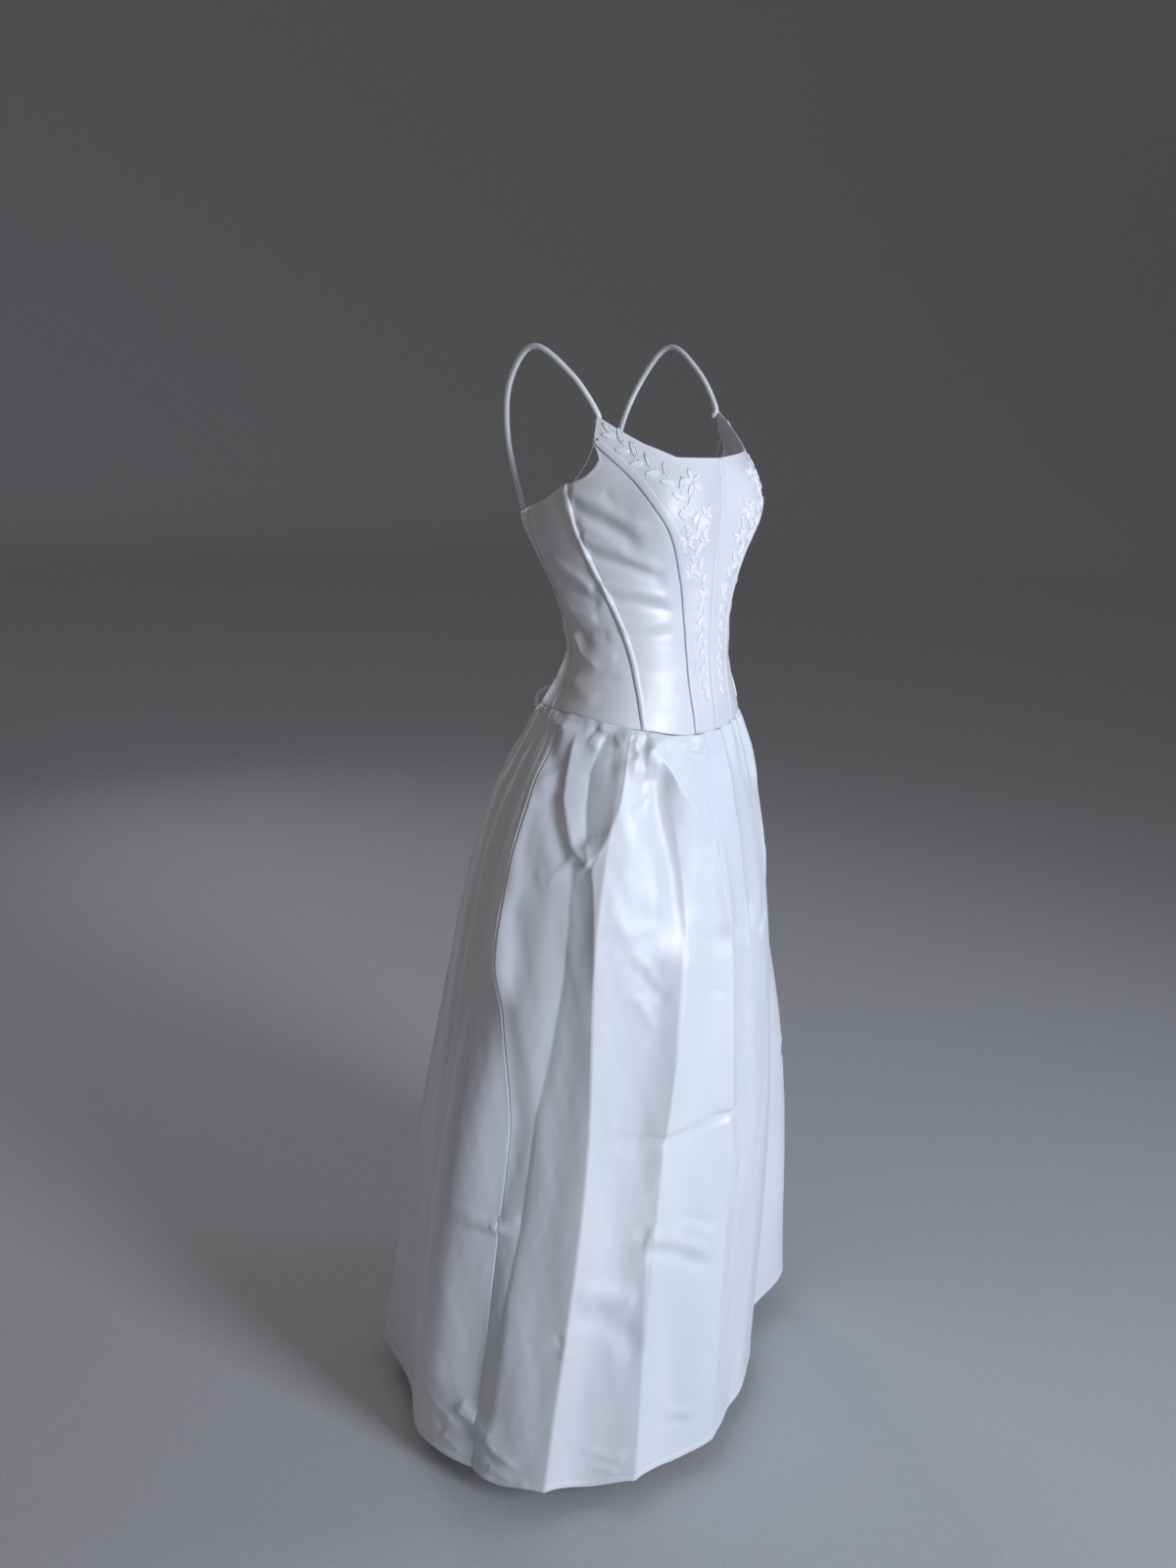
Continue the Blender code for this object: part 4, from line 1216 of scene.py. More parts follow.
@dataclass
class Bodice:
    """The boned bodice: seven panels with raised channels over their seams."""

    form: DressForm
    creases: Sequence[Crease]
    wall: float = 0.0016
    rows: int = 165
    ratio: int = 3
    rim_rows: int = 3
    top_rim_rise: float = 1.0
    waist_rim_rise: float = -0.25
    seam_gap: float = 0.00015
    waist_gap: float = 0.0003
    edge_width: float = 0.0040
    edge_rise: float = 0.0005
    edge_slope: float = 0.0012
    seam_dip: float = 0.0004
    seam_width: float = 0.0010
    waist_dip_share: float = 1.4
    waist_dip_width: float = 0.0020
    # mean radius of the bodice, and a distance that is far from any seam
    gap_radius: float = 0.13
    far: float = 1.0
    wave_height: float = 0.00035
    wave_size: float = 0.07
    wave_stretch: float = 2.5
    wave_seed: int = 21
    calm_lengths: tuple[float, float] = (0.03, 0.02)
    # name, seams and columns of the panels of one half
    centre_columns: int = 192
    panels: tuple[tuple[str, Seam, Seam, int], ...] = (
        ("side_front", PRINCESS_SEAM, SIDE_FRONT_SEAM, 90),
        ("side_back", SIDE_FRONT_SEAM, SIDE_BACK_SEAM, 108),
        ("back", SIDE_BACK_SEAM, BACK_EDGE, 72))
    # name, seam, edges, height and roundness of the channels of one half
    centre_channel: tuple[tuple[float, float], float, float] = ((-0.0050, 0.0050), 0.0011, 4.0)
    channels: tuple[tuple[str, Seam, tuple[float, float], float, float], ...] = (
        ("princess", PRINCESS_SEAM, (-0.0106, -0.0006), 0.0016, 4.0),
        ("side_front", SIDE_FRONT_SEAM, (-0.0037, 0.0037), 0.0027, 2.0),
        ("side_back", SIDE_BACK_SEAM, (-0.0050, 0.0050), 0.0013, 8.0))
    channel_grid: tuple[int, int] = (15, 190)
    channel_seed: int = 31
    channel_waves: float = 0.10
    channel_wave_size: float = 0.05
    channel_base: float = 0.00012
    channel_edge: float = 0.00022
    channel_end_share: float = 0.35
    channel_end_rows: float = 3.0

    def detail(self, angle: Array, z: Array) -> Array:
        """Drag lines and low waves of the bodice.

        Args:
            angle: degrees.
            z: heights.

        Returns:
            Metres outwards.
        """
        metres = np.radians(angle) * self.form.radius(z)
        relief = crease_relief(self.creases, angle, z, self.form)
        calm_top, calm_waist = self.calm_lengths
        calm = (ease((self.form.top(angle) - z) / calm_top)
                * ease((z - self.form.waist(angle)) / calm_waist))
        return relief + calm * gentle_waves(z, metres, self.wave_seed, self.wave_height,
                                            self.wave_size, self.wave_stretch)

    def place(self, angle: Array, z: Array, height: Array | float = 0.0) -> Array:
        """Point at a height over the bodice's outer surface."""
        out = self.detail(np.asarray(angle, float), np.asarray(z, float)) + height
        return self.form.point(angle, z) + out[..., None] * self.form.normal(angle, z)

    def panel(self, name: str, seam_a: Seam, seam_b: Seam, columns: int,
              material: bpy.types.Material, side: int, whole: bool = False) -> None:
        """One panel between two seams, as a closed thin wall.

        Args:
            name: the node that it replaces.
            seam_a: its seam nearer to the centre front.
            seam_b: its other seam.
            columns: columns of points across it.
            material: the satin.
            side: 1 for the right half and -1 for the left.
            whole: it spans both halves, from seam_b to its mirror image.
        """
        shares = np.linspace(-1.0 if whole else 0.0, 1.0, columns + 1)
        start_a, end_a = seam_a.ends(self.form)
        start_b, end_b = seam_b.ends(self.form)
        size = np.abs(shares)
        turn = np.where(shares < 0, -1.0, 1.0)
        top = self.form.top(start_a + (start_b - start_a) * size)
        bottom = self.form.waist(end_a + (end_b - end_a) * size) + self.waist_gap
        down = np.linspace(0.0, 1.0, self.rows - 2 * self.rim_rows + 1)[:, None]
        z = top[None, :] + (bottom - top)[None, :] * down
        angle_a = seam_a.angle(z)
        angle_b = seam_b.angle(z)
        metres = np.radians(1.0) * self.form.radius(z)
        gap = np.degrees(self.seam_gap / self.gap_radius)
        low = angle_a if whole else angle_a + gap
        high = angle_b - (0.0 if seam_b is BACK_EDGE else gap)
        angle = (low + (high - low) * size[None, :]) * turn[None, :] * side
        to_b = (angle_b - np.abs(angle)) * metres
        to_a = np.full_like(to_b, self.far) if whole else (np.abs(angle) - angle_a) * metres
        from_top = top[None, :] - z
        from_waist = z - bottom[None, :]
        edge = ease((self.edge_width - from_top) / self.edge_slope)
        if seam_b is BACK_EDGE:
            edge = np.maximum(edge, ease((self.edge_width - to_b) / self.edge_slope))
            to_b = np.full_like(to_b, self.far)
        dips = (np.exp(-(to_a / self.seam_width) ** 2) + np.exp(-(to_b / self.seam_width) ** 2)
                + self.waist_dip_share * np.exp(-(from_waist / self.waist_dip_width) ** 2))
        relief = self.detail(angle, z) + self.edge_rise * edge - self.seam_dip * dips
        normal = self.form.normal(angle, z)
        base = self.form.point(angle, z)
        outer = base + relief[..., None] * normal
        inner = base + (lowest_nearby(relief, self.ratio) - self.wall)[..., None] * normal
        upper = turned_rim(outer[0], inner[0], self.rim_rows, self.top_rim_rise)[::-1]
        lower = turned_rim(outer[-1], inner[-1], self.rim_rows, self.waist_rim_rise)
        outer = np.concatenate([upper, outer, lower])
        if side < 0:
            outer = outer[:, ::-1]
            inner = inner[:, ::-1]
        inner = MeshMaker.thinned(inner, len(outer), self.ratio)
        piece = MeshMaker.shell(name + "_satin", outer, inner, cloth_uv(outer), self.ratio)
        dress_piece(piece, material, "bodice_satin", name)

    def channel(self, name: str, seam: Seam, edges: tuple[float, float], height: float,
                rounded: float, material: bpy.types.Material, side: int) -> None:
        """A boning channel: a stitched-down strip of satin over a bone.

        Its height over the panel is height (1 - |t|^k)^(1/2) across t = -1 to 1, with
        k = 2 for a round one and k near 8 for a flat one.

        Args:
            name: the node that it replaces.
            seam: the seam that it follows.
            edges: distances of its edges from the seam, in metres.
            height: its height at the middle.
            rounded: k above.
            material: the satin.
            side: 1 for the right half and -1 for the left.
        """
        t = -np.cos(np.linspace(0, math.pi, self.channel_grid[0]))
        offsets = edges[0] + (edges[1] - edges[0]) * (t + 1) / 2
        angle, z = seam.beside(self.form, offsets, self.channel_grid[1])
        angle = angle * side
        profile = np.sqrt(np.maximum(1 - np.abs(t) ** rounded, 0.0))
        waves = gentle_waves(z, z, self.channel_seed, 1.0, self.channel_wave_size, 1.0)
        over = self.form.normal(angle, z)
        base = (self.detail(angle, z) + self.channel_base)[..., None]
        ground = self.form.point(angle, z) + base * over
        lift = height * profile[None, :] * (1 + self.channel_waves * waves) + self.channel_edge
        ends = np.minimum(np.arange(len(z)), np.arange(len(z))[::-1])[:, None]
        low = self.channel_end_share
        lift = lift * (low + (1 - low) * ease(ends / self.channel_end_rows))
        outer = ground + lift[..., None] * over
        if side < 0:
            outer = outer[:, ::-1]
            ground = ground[:, ::-1]
        piece = MeshMaker.shell(name + "_satin", outer, ground, cloth_uv(outer))
        dress_piece(piece, material, "bodice_satin", name)

    def build(self, material: bpy.types.Material) -> None:
        """Make the panels and channels of both halves.

        Args:
            material: the satin.
        """
        self.panel("bodice_centre_front", CENTRE_FRONT, PRINCESS_SEAM, self.centre_columns,
                   material, 1, True)
        self.channel("channel_centre_front", CENTRE_FRONT, *self.centre_channel, material, 1)
        for side, letter in SIDES:
            for place, seam_a, seam_b, columns in self.panels:
                name = "bodice_%s_%s" % (place, letter)
                self.panel(name, seam_a, seam_b, columns, material, side)
            for place, seam, edges, height, rounded in self.channels:
                name = "channel_%s_%s" % (place, letter)
                self.channel(name, seam, edges, height, rounded, material, side)


@dataclass(frozen=True)
class Leaf:
    """One embroidered leaf or petal, lying on the bodice.

    Attributes:
        angle: degrees of its foot on the body.
        z: height of its foot.
        heading: degrees that it points, 0 upwards and 90 towards larger angles.
        length: metres from foot to tip.
        width: metres at its widest.
    """

    angle: float
    z: float
    heading: float
    length: float
    width: float


# points along and across a stitch, and how far its edge stands over the satin
STITCH_GRID = 7
STITCH_CLEARANCE = 0.0002


def lay_blades(name: str, bodice: Bodice, spots: Sequence[Leaf], side: int, s: Array, t: Array,
               blade: Array, lift: Array, sink: float,
               material: bpy.types.Material) -> bpy.types.Object:
    """Many blades of thread laid on the bodice, all in one mesh.

    A point of a blade lies s of its length ahead of its foot and t of its half width to the
    side, turned by its heading, and is put on the bodice at its own angle and height.

    Args:
        name: the piece's name.
        bodice: what they are sewn on.
        spots: their places and sizes.
        side: 1 for the right half and -1 for the left.
        s: shares of the length, 0 to 1, on the second axis.
        t: shares of the half width, -1 to 1, on the third axis.
        blade: width at each s, as a share of the widest.
        lift: metres over the satin at each s and t.
        sink: metres over the satin's base of the underside.
        material: the thread.

    Returns:
        The piece.
    """
    table = np.array([astuple(spot) for spot in spots])
    angle0, z0, heading, length, width = (table[:, k, None, None] for k in range(5))
    ahead = s * length * np.ones_like(t)
    aside = t * blade * width / 2
    turn = np.radians(heading)
    z = z0 + ahead * np.cos(turn) - aside * np.sin(turn)
    metres = np.radians(1.0) * bodice.form.radius(z)
    angle = (angle0 + (ahead * np.sin(turn) + aside * np.cos(turn)) / metres) * side
    over = bodice.place(angle, z, np.broadcast_to(lift, z.shape))
    under = bodice.place(angle, z, np.full(z.shape, sink))
    piece = closed_blades(name, over, under, np.stack([ahead, aside], -1), side)
    return dress_piece(piece, material, "trim_satin")


def closed_blades(name: str, over: Array, under: Array, uv: Array, side: int) -> bpy.types.Object:
    """Closed blades from their upper and lower grids.

    Args:
        name: the piece's name.
        over: blades by rows by columns by 3.
        under: the same for the underside.
        uv: blades by rows by columns by 2, in metres.
        side: 1 for the right half and -1 for the left.

    Returns:
        One piece of them all.
    """
    count, rows, columns = over.shape[:3]
    top = np.arange(rows * columns).reshape(rows, columns)
    bottom = top + rows * columns
    edge = [(top[0], bottom[0], False), (top[-1], bottom[-1], True),
            (top[:, 0], bottom[:, 0], True), (top[:, -1], bottom[:, -1], False)]
    quads = [MeshMaker.grid_faces(rows, columns, 0, True),
             MeshMaker.grid_faces(rows, columns, rows * columns)]
    for upper, lower, flip in edge:
        strip = np.stack([upper[:-1], upper[1:], lower[1:], lower[:-1]], -1)
        quads.append(strip if flip else strip[:, ::-1])
    one = np.concatenate(quads)
    one = one[:, ::-1] if side < 0 else one
    size = 2 * rows * columns
    faces = (one[None] + np.arange(count)[:, None, None] * size).reshape(-1, 4)
    verts = np.stack([over, under], 1).reshape(-1, 3)
    both_uv = np.stack([uv, uv], 1).reshape(-1, 2)
    piece = MeshMaker.build(name, verts, [faces], both_uv)
    close_poles(piece)
    return piece


def lay_stitches(name: str, bodice: Bodice, spots: Sequence[Leaf], side: int, rise: float,
                 material: bpy.types.Material) -> bpy.types.Object:
    """Small rounded stitches: ovals whose height is rise (1 - t^2)^(1/2) times their width.

    Args:
        name: the piece's name.
        bodice: what they are sewn on.
        spots: foot, heading and size of each stitch.
        side: 1 for the right half and -1 for the left.
        rise: how high a stitch stands, in metres.
        material: the thread.

    Returns:
        The piece.
    """
    s = np.linspace(0.0, 1.0, STITCH_GRID)[None, :, None]
    t = np.linspace(-1.0, 1.0, STITCH_GRID)[None, None, :]
    blade = np.sqrt(np.maximum(1 - (2 * s - 1) ** 2, 0.0))
    dome = rise * blade * np.sqrt(np.maximum(1 - t ** 2, 0.0))
    return lay_blades(name, bodice, spots, side, s, t, blade, dome + STITCH_CLEARANCE,
                      STITCH_CLEARANCE / 4, material)


@dataclass
class Embroidery:
    """Leafy vines with five-petalled flowers in glossy thread, one on each half.

    It is a plain design of its own: a stem that runs from the strap to the waist, leaves
    in turn on both sides of it, and flowers where it bends.
    """

    bodice: Bodice
    # angle and height of the stem, from the strap down to the waist
    stem: tuple[tuple[float, float], ...] = (
        (61.0, -0.0900), (56.0, -0.1035), (51.0, -0.1150), (44.5, -0.1245), (38.0, -0.1330),
        (32.0, -0.1450), (28.0, -0.1640), (24.8, -0.1880), (21.5, -0.2150), (17.0, -0.2380),
        (13.5, -0.2600), (10.5, -0.2900), (10.2, -0.3200), (8.8, -0.3480), (8.0, -0.3780),
        (7.6, -0.3960))
    # angle, height, turn and petal length of each flower
    flowers: tuple[tuple[float, float, float, float], ...] = (
        (24.0, -0.1420, 10.0, 0.0145), (16.5, -0.1800, 40.0, 0.0120), (26.5, -0.2060, 5.0, 0.0110),
        (15.0, -0.2120, 62.0, 0.0105), (22.5, -0.2450, 28.0, 0.0105), (10.0, -0.2760, 0.0, 0.0090))
    # foot angle, foot height, heading, length of sprays beside the stem
    sprays: tuple[tuple[float, float, float, float], ...] = (
        (22.0, -0.1950, -32.0, 0.0150), (19.0, -0.1990, -12.0, 0.0150),
        (17.5, -0.2050, -40.0, 0.0140), (20.5, -0.2240, -52.0, 0.0140),
        (25.0, -0.2240, 40.0, 0.0140), (18.5, -0.2330, 18.0, 0.0130),
        (24.0, -0.1750, 62.0, 0.0150), (13.5, -0.1960, 6.0, 0.0110),
        (27.5, -0.1830, 48.0, 0.0150))
    leaf_length: float = 0.0190
    leaf_width: float = 0.0074
    leaf_step: float = 0.0200
    leaf_lean: float = 42.0
    # how much smaller and straighter the leaves are at the stem's end, as shares
    leaf_shrink: float = 0.38
    leaf_straighten: float = 0.25
    # share of the stem above which the leaves point back up it
    leaf_turn_share: float = 0.62
    # length and width of the leaf at each end of the stem
    tip_leaf: tuple[float, float] = (0.0130, 0.0050)
    head_leaf: tuple[float, float] = (0.0165, 0.0066)
    # points along and across a leaf
    leaf_grid: tuple[int, int] = (11, 13)
    fill: float = 0.0002
    rim: float = 0.0012
    edge_height: float = 0.00008
    clearance: float = 0.00025
    sink: float = 0.0001
    petals: int = 5
    petal_gap: float = 0.0012
    petal_width_share: float = 0.50
    spray_width_share: float = 0.42
    stem_start: float = 0.004
    stem_step: float = 0.0052
    stem_stitch: float = 0.0047
    stem_width: float = 0.0015
    stem_rise: float = 0.0007
    heart_size: float = 0.0026
    heart_rise: float = 0.0014

    def leaf_heights(self, along: Array, across: Array) -> Array:
        """Height of a leaf: a raised rim, a vein down its middle and a low fill.

        Args:
            along: 0 at the foot to 1 at the tip.
            across: -1 at one edge to 1 at the other.

        Returns:
            Metres over the satin.
        """
        rim = np.exp(-((np.abs(across) - 0.80) / 0.17) ** 2)
        vein = 0.7 * np.exp(-(across / 0.13) ** 2) * ease((1 - along) / 0.3)
        close = ease((1 - np.abs(across)) / 0.14)
        return (self.fill + self.rim * np.maximum(rim, vein)) * close + self.edge_height

    def leaves(self, name: str, leaves: Sequence[Leaf], side: int,
               material: bpy.types.Material) -> bpy.types.Object:
        """All the leaves of one half, as one piece of many closed blades.

        A blade's half width is w sin(pi s)^0.75 (1.12 - 0.24 s) at a share s of its length.
        The relief is 0 at both ends, so that the points of an end meet in one.

        Args:
            name: the piece's name.
            leaves: their places and sizes.
            side: 1 for the right half and -1 for the left.
            material: the thread.

        Returns:
            The piece.
        """
        s = np.linspace(0.0, 1.0, self.leaf_grid[0])[None, :, None]
        t = np.linspace(-1.0, 1.0, self.leaf_grid[1])[None, None, :]
        blade = np.maximum(np.sin(math.pi * s), 0.0) ** 0.75 * (1.12 - 0.24 * s)
        close = np.clip(np.sin(math.pi * s) * 3.0, 0.0, 1.0)
        lift = self.leaf_heights(s, t) * close + self.clearance
        return lay_blades(name, self.bodice, leaves, side, s, t, blade, lift, self.sink, material)

    def stem_points(self, step: float) -> tuple[Array, Array, Array]:
        """Points at even steps down the stem.

        Args:
            step: metres between them.

        Returns:
            Their angles, heights and headings.
        """
        metres = self.metres_at(-0.22)
        path = smooth_path([(a * metres, z, 0.0) for a, z in self.stem], 600)
        run = run_along(path)
        want = np.arange(self.stem_start, run[-1], step)
        u = np.interp(want, run, path[:, 0])
        z = np.interp(want, run, path[:, 1])
        du = np.gradient(u)
        dv = np.gradient(z)
        return u / metres, z, np.degrees(np.arctan2(du, dv))

    def metres_at(self, z: float) -> float:
        """Metres in a degree round the bodice at a height."""
        return np.radians(1.0) * float(self.bodice.form.radius(np.array(z)))

    def stem_leaves(self) -> list[Leaf]:
        """Leaves in turn on both sides of the stem, smaller towards the waist.

        Returns:
            The leaves, and one at each end of the stem.
        """
        angle, z, heading = self.stem_points(self.leaf_step / 2)
        found = []
        for k, (a, level, way) in enumerate(zip(angle, z, heading)):
            share = k / len(angle)
            size = 1.0 - self.leaf_shrink * share
            turn = self.leaf_lean if k % 2 == 0 else -self.leaf_lean
            back = way + 180.0 if share < self.leaf_turn_share else way
            found.append(Leaf(a, level, back + turn * (1.0 - self.leaf_straighten * share),
                              self.leaf_length * size, self.leaf_width * size))
        found.append(Leaf(*self.stem[-1], heading[-1], *self.tip_leaf))
        found.append(Leaf(*self.stem[0], heading[0] + 180.0, *self.head_leaf))
        return found

    def flower_petals(self) -> list[Leaf]:
        """Petals round each flower's heart, and the sprays beside the stem.

        Returns:
            The petals and sprays.
        """
        found = []
        metres = self.metres_at(-0.2)
        for angle, z, turn, length in self.flowers:
            for petal in range(self.petals):
                way = turn + 360.0 / self.petals * petal
                across = self.petal_gap * math.sin(math.radians(way)) / metres
                up = self.petal_gap * math.cos(math.radians(way))
                width = length * self.petal_width_share
                found.append(Leaf(angle + across, z + up, way, length, width))
        for angle, z, way, length in self.sprays:
            found.append(Leaf(angle, z, way, length, length * self.spray_width_share))
        return found

    def build(self, material: bpy.types.Material) -> None:
        """Make the stems, leaves, flowers and hearts of both halves.

        Args:
            material: the thread.
        """
        steps = zip(*self.stem_points(self.stem_step))
        stem = [Leaf(a, z, way, self.stem_stitch, self.stem_width) for a, z, way in steps]
        size = self.heart_size
        hearts = [Leaf(a, z - self.petal_gap, 0.0, size, size) for a, z, _, _ in self.flowers]
        for side, letter in SIDES:
            self.leaves("vine_leaves_" + letter, self.stem_leaves(), side, material)
            self.leaves("vine_flowers_" + letter, self.flower_petals(), side, material)
            for place, spots, rise in (("stem", stem, self.stem_rise),
                                       ("hearts", hearts, self.heart_rise)):
                name = "vine_%s_%s" % (place, letter)
                lay_stitches(name, self.bodice, spots, side, rise, material)


def close_poles(piece: bpy.types.Object) -> None:
    """Merge a piece's doubled points and turn its faces outwards.

    Args:
        piece: a mesh of closed shells.
    """
    work = bmesh.new()
    work.from_mesh(piece.data)
    bmesh.ops.remove_doubles(work, verts=work.verts, dist=0.000004)
    bmesh.ops.recalc_face_normals(work, faces=work.faces)
    work.to_mesh(piece.data)
    work.free()


@dataclass
class Stitching:
    """Rows of machine stitches beside the channels and under the upper edge."""

    bodice: Bodice
    length: float = 0.0026
    gap: float = 0.0009
    thickness: float = 0.00055
    rise_share: float = 0.55
    start: float = 0.0020
    stop: float = 0.0010
    # distance of each row from its seam, and of the top row from the upper edge
    centre_offset: float = 0.0062
    princess_offset: float = -0.0122
    back_edge_offset: float = -0.0065
    side_back_offset: float = 0.0064
    upper_edge_drop: float = 0.0056
    upper_edge_angles: tuple[float, float] = (1.0, 158.0)

    def along(self, seam: Seam, offset: float, side: int, name: str,
              material: bpy.types.Material) -> None:
        """One row of stitches at a distance from a seam.

        Args:
            seam: the seam.
            offset: metres from it.
            side: 1 for the right half and -1 for the left.
            name: the piece's name.
            material: the thread.
        """
        angle, z = seam.beside(self.bodice.form, np.array([offset]), 400)
        self.row(angle[:, 0], z[:, 0], side, name, material)

    def row(self, angle: Array, z: Array, side: int, name: str,
            material: bpy.types.Material) -> None:
        """Stitches at even steps along a line.

        Args:
            angle: the line's angles.
            z: its heights.
            side: 1 for the right half and -1 for the left.
            name: the piece's name.
            material: the thread.
        """
        form = self.bodice.form
        metres = np.radians(1.0) * form.radius(z)
        step = np.hypot(np.diff(angle) * (metres[1:] + metres[:-1]) / 2, np.diff(z))
        run = np.concatenate([[0.0], np.cumsum(step)])
        want = np.arange(self.start, run[-1] - self.length - self.stop, self.length + self.gap)
        a = np.interp(want, run, angle)
        level = np.interp(want, run, z)
        ahead_a = np.interp(want + self.length, run, angle)
        ahead_z = np.interp(want + self.length, run, z)
        way = np.degrees(np.arctan2((ahead_a - a) * np.interp(want, run, metres), ahead_z - level))
        spots = [Leaf(p, q, r, self.length, self.thickness) for p, q, r in zip(a, level, way)]
        lay_stitches(name, self.bodice, spots, side, self.thickness * self.rise_share, material)

    def build(self, material: bpy.types.Material) -> None:
        """Make the rows of both halves.

        Args:
            material: the thread.
        """
        rows = ((CENTRE_FRONT, self.centre_offset, "centre"),
                (PRINCESS_SEAM, self.princess_offset, "princess"),
                (BACK_EDGE, self.back_edge_offset, "back_edge"),
                (SIDE_BACK_SEAM, self.side_back_offset, "side_back"))
        angle = np.linspace(*self.upper_edge_angles, 500)
        z = self.bodice.form.top(angle) - self.upper_edge_drop
        for side, letter in SIDES:
            for seam, offset, place in rows:
                self.along(seam, offset, side, "stitches_%s_%s" % (place, letter), material)
            self.row(angle, z, side, "stitches_upper_edge_" + letter, material)


def ball_turns(around: int, down: int) -> tuple[Array, Array]:
    """Angles of a ball's points.

    Args:
        around: points round it.
        down: points from pole to pole.

    Returns:
        Radians round it as a row, and from the upper pole as a column.
    """
    u = np.linspace(0, 2 * math.pi, around, endpoint=False)[None, :]
    return u, np.linspace(0.0, math.pi, down)[:, None]


def ball(name: str, u: Array, v: Array, radius: Array, stretch: Sequence[float], centre: Array,
         size: float) -> bpy.types.Object:
    """A closed ball whose radius varies over its angles.

    Args:
        name: the piece's name.
        u: radians round it.
        v: radians from its upper pole.
        radius: metres at each u and v.
        stretch: share by which it is stretched along each axis.
        centre: its middle.
        size: mean radius, which turns the angles into metres of cloth.

    Returns:
        The piece.
    """
    way = np.stack([np.sin(v) * np.cos(u), np.sin(v) * np.sin(u), np.cos(v) * np.ones_like(u)], -1)
    points = radius[..., None] * way * np.array(stretch) + centre
    faces = MeshMaker.grid_faces(*points.shape[:2], wrap=True)
    uv = np.stack(np.broadcast_arrays(u * size, v * size), -1)
    piece = MeshMaker.build(name, points.reshape(-1, 3), [faces], uv.reshape(-1, 2))
    close_poles(piece)
    return piece


@dataclass
class Trimmings:
    """Straps, loops, the lace, its knot and bow, and its two free ends."""

    form: DressForm
    strap_diameter: float = 0.0065
    strap_front_angle: float = 68.6
    strap_back_angle: float = 141.0
    strap_tuck: float = 0.0090
    strap_gap: float = 0.0004
    # depth under the satin and height at which a strap passes the upper edge
    strap_rim_depth: float = 0.0026
    strap_rim_lift: float = 0.0042
    # the left strap's points between its ends, in metres
    strap_way: tuple[tuple[float, float, float], ...] = (
        (0.1385, -0.0490, -0.0260), (0.1456, 0.0000, 0.0033),
        (0.1400, 0.0385, -0.0400), (0.1190, 0.0560, -0.1080))
    loop_heights: tuple[float, ...] = (-0.218, -0.257, -0.296, -0.335, -0.374, -0.413)
    loop_diameter: float = 0.0034
    loop_half_height: float = 0.0085
    loop_reach: float = 0.0130
    loop_lift: float = 0.0080
    loop_foot_gap: float = 0.0010
    lace_diameter: float = 0.0040
    lace_turn_gap: float = 0.0010
    lace_crossing_lift: float = 0.0030
    lace_drift: float = 0.0015
    edge_wall: float = 0.0020
    knot_z: float = -0.4290
    knot_standoff: float = 0.0170
    knot_radius: float = 0.0080
    knot_gap: float = 0.0008
    knot_stretch: tuple[float, float, float] = (1.05, 0.92, 0.95)
    # how far a cord's end runs into the knot
    knot_tuck: float = 0.0030
    bow_out_way: tuple[float, float, float] = (0.935, 0.35, -0.065)
    bow_back_way: tuple[float, float, float] = (0.700, 0.35, -0.630)
    # a bow loop's points, from the knot's centre
    bow_way: tuple[tuple[float, float, float], ...] = (
        (0.0250, 0.0080, 0.0010), (0.0420, 0.0100, -0.0050), (0.0455, 0.0105, -0.0180),
        (0.0330, 0.0100, -0.0210), (0.0180, 0.0070, -0.0150))
    tail_lengths: tuple[float, float] = (0.185, 0.165)
    tail_way: tuple[float, float, float] = (0.30, -0.20, -0.93)
    tail_spread: float = 0.0140
    tail_clearance: float = 0.0060
    tail_points: int = 70
    # how far under the waist seam, and beside the centre back, the skirt is felt for
    tail_under_seam: float = 0.0005
    tail_fold_place: float = 0.001
    end_knot_radius: float = 0.0033
    end_knot_stretch: tuple[float, float, float] = (1.0, 1.0, 1.15)

    def tube(self, name: str, route: Array, diameter: float, count: int,
             material: bpy.types.Material, node: str, sides: int = 14) -> bpy.types.Object:
        """A rouleau cord along a route, in place of its solid.

        Args:
            name: the piece's name.
            route: points that it passes.
            diameter: metres.
            count: points along it.
            material: the satin.
            node: the solid.
            sides: points round it.

        Returns:
            The piece.
        """
        path = smooth_path(route, count)
        radius = np.full(count, diameter / 2)
        piece = MeshMaker.tube(name, path, radius, sides)
        return dress_piece(piece, material, "trim_satin", node)

    def strap(self, side: int, letter: str, material: bpy.types.Material) -> None:
        """One shoulder strap, with its ends sewn inside the bodice's edge.

        Args:
            side: -1 for the right and 1 for the left.
            letter: the side's name.
            material: the satin.
        """
        ends = []
        for angle in (self.strap_front_angle, self.strap_back_angle):
            z = float(self.form.top(np.array(angle)))
            normal = self.form.level_normal(np.array(-angle), np.array(z))
            rim = self.form.point(np.array(-angle), np.array(z))
            inside = rim - normal * (self.edge_wall + self.strap_diameter / 2 + self.strap_gap)
            over = rim - normal * self.strap_rim_depth + (0, 0, self.strap_rim_lift)
            ends.append((inside + (0, 0, -self.strap_tuck), over))
        route = np.array([ends[0][0], ends[0][1], *self.strap_way, ends[1][1], ends[1][0]])
        route = route * np.array([side, 1.0, 1.0])
        self.tube("strap_cord_" + letter, route, self.strap_diameter, 90, material,
                  "strap_" + letter, 20)

    def edge_frame(self, z: Array, side: int) -> tuple[Array, Array, Array]:
        """The lacing edge at some heights.

        Args:
            z: the heights.
            side: 1 for the left edge and -1 for the right, seen from behind.

        Returns:
            Its rim, and the outward and centreward ways there.
        """
        angle = BACK_EDGE.angle(z) * side
        normal = self.form.level_normal(angle, z)
        rim = self.form.point(angle, z) - normal * self.edge_wall / 2
        way = np.stack([-normal[..., 1], normal[..., 0], np.zeros_like(z)], -1)
        return rim, normal, way * np.sign(side * way[..., :1])

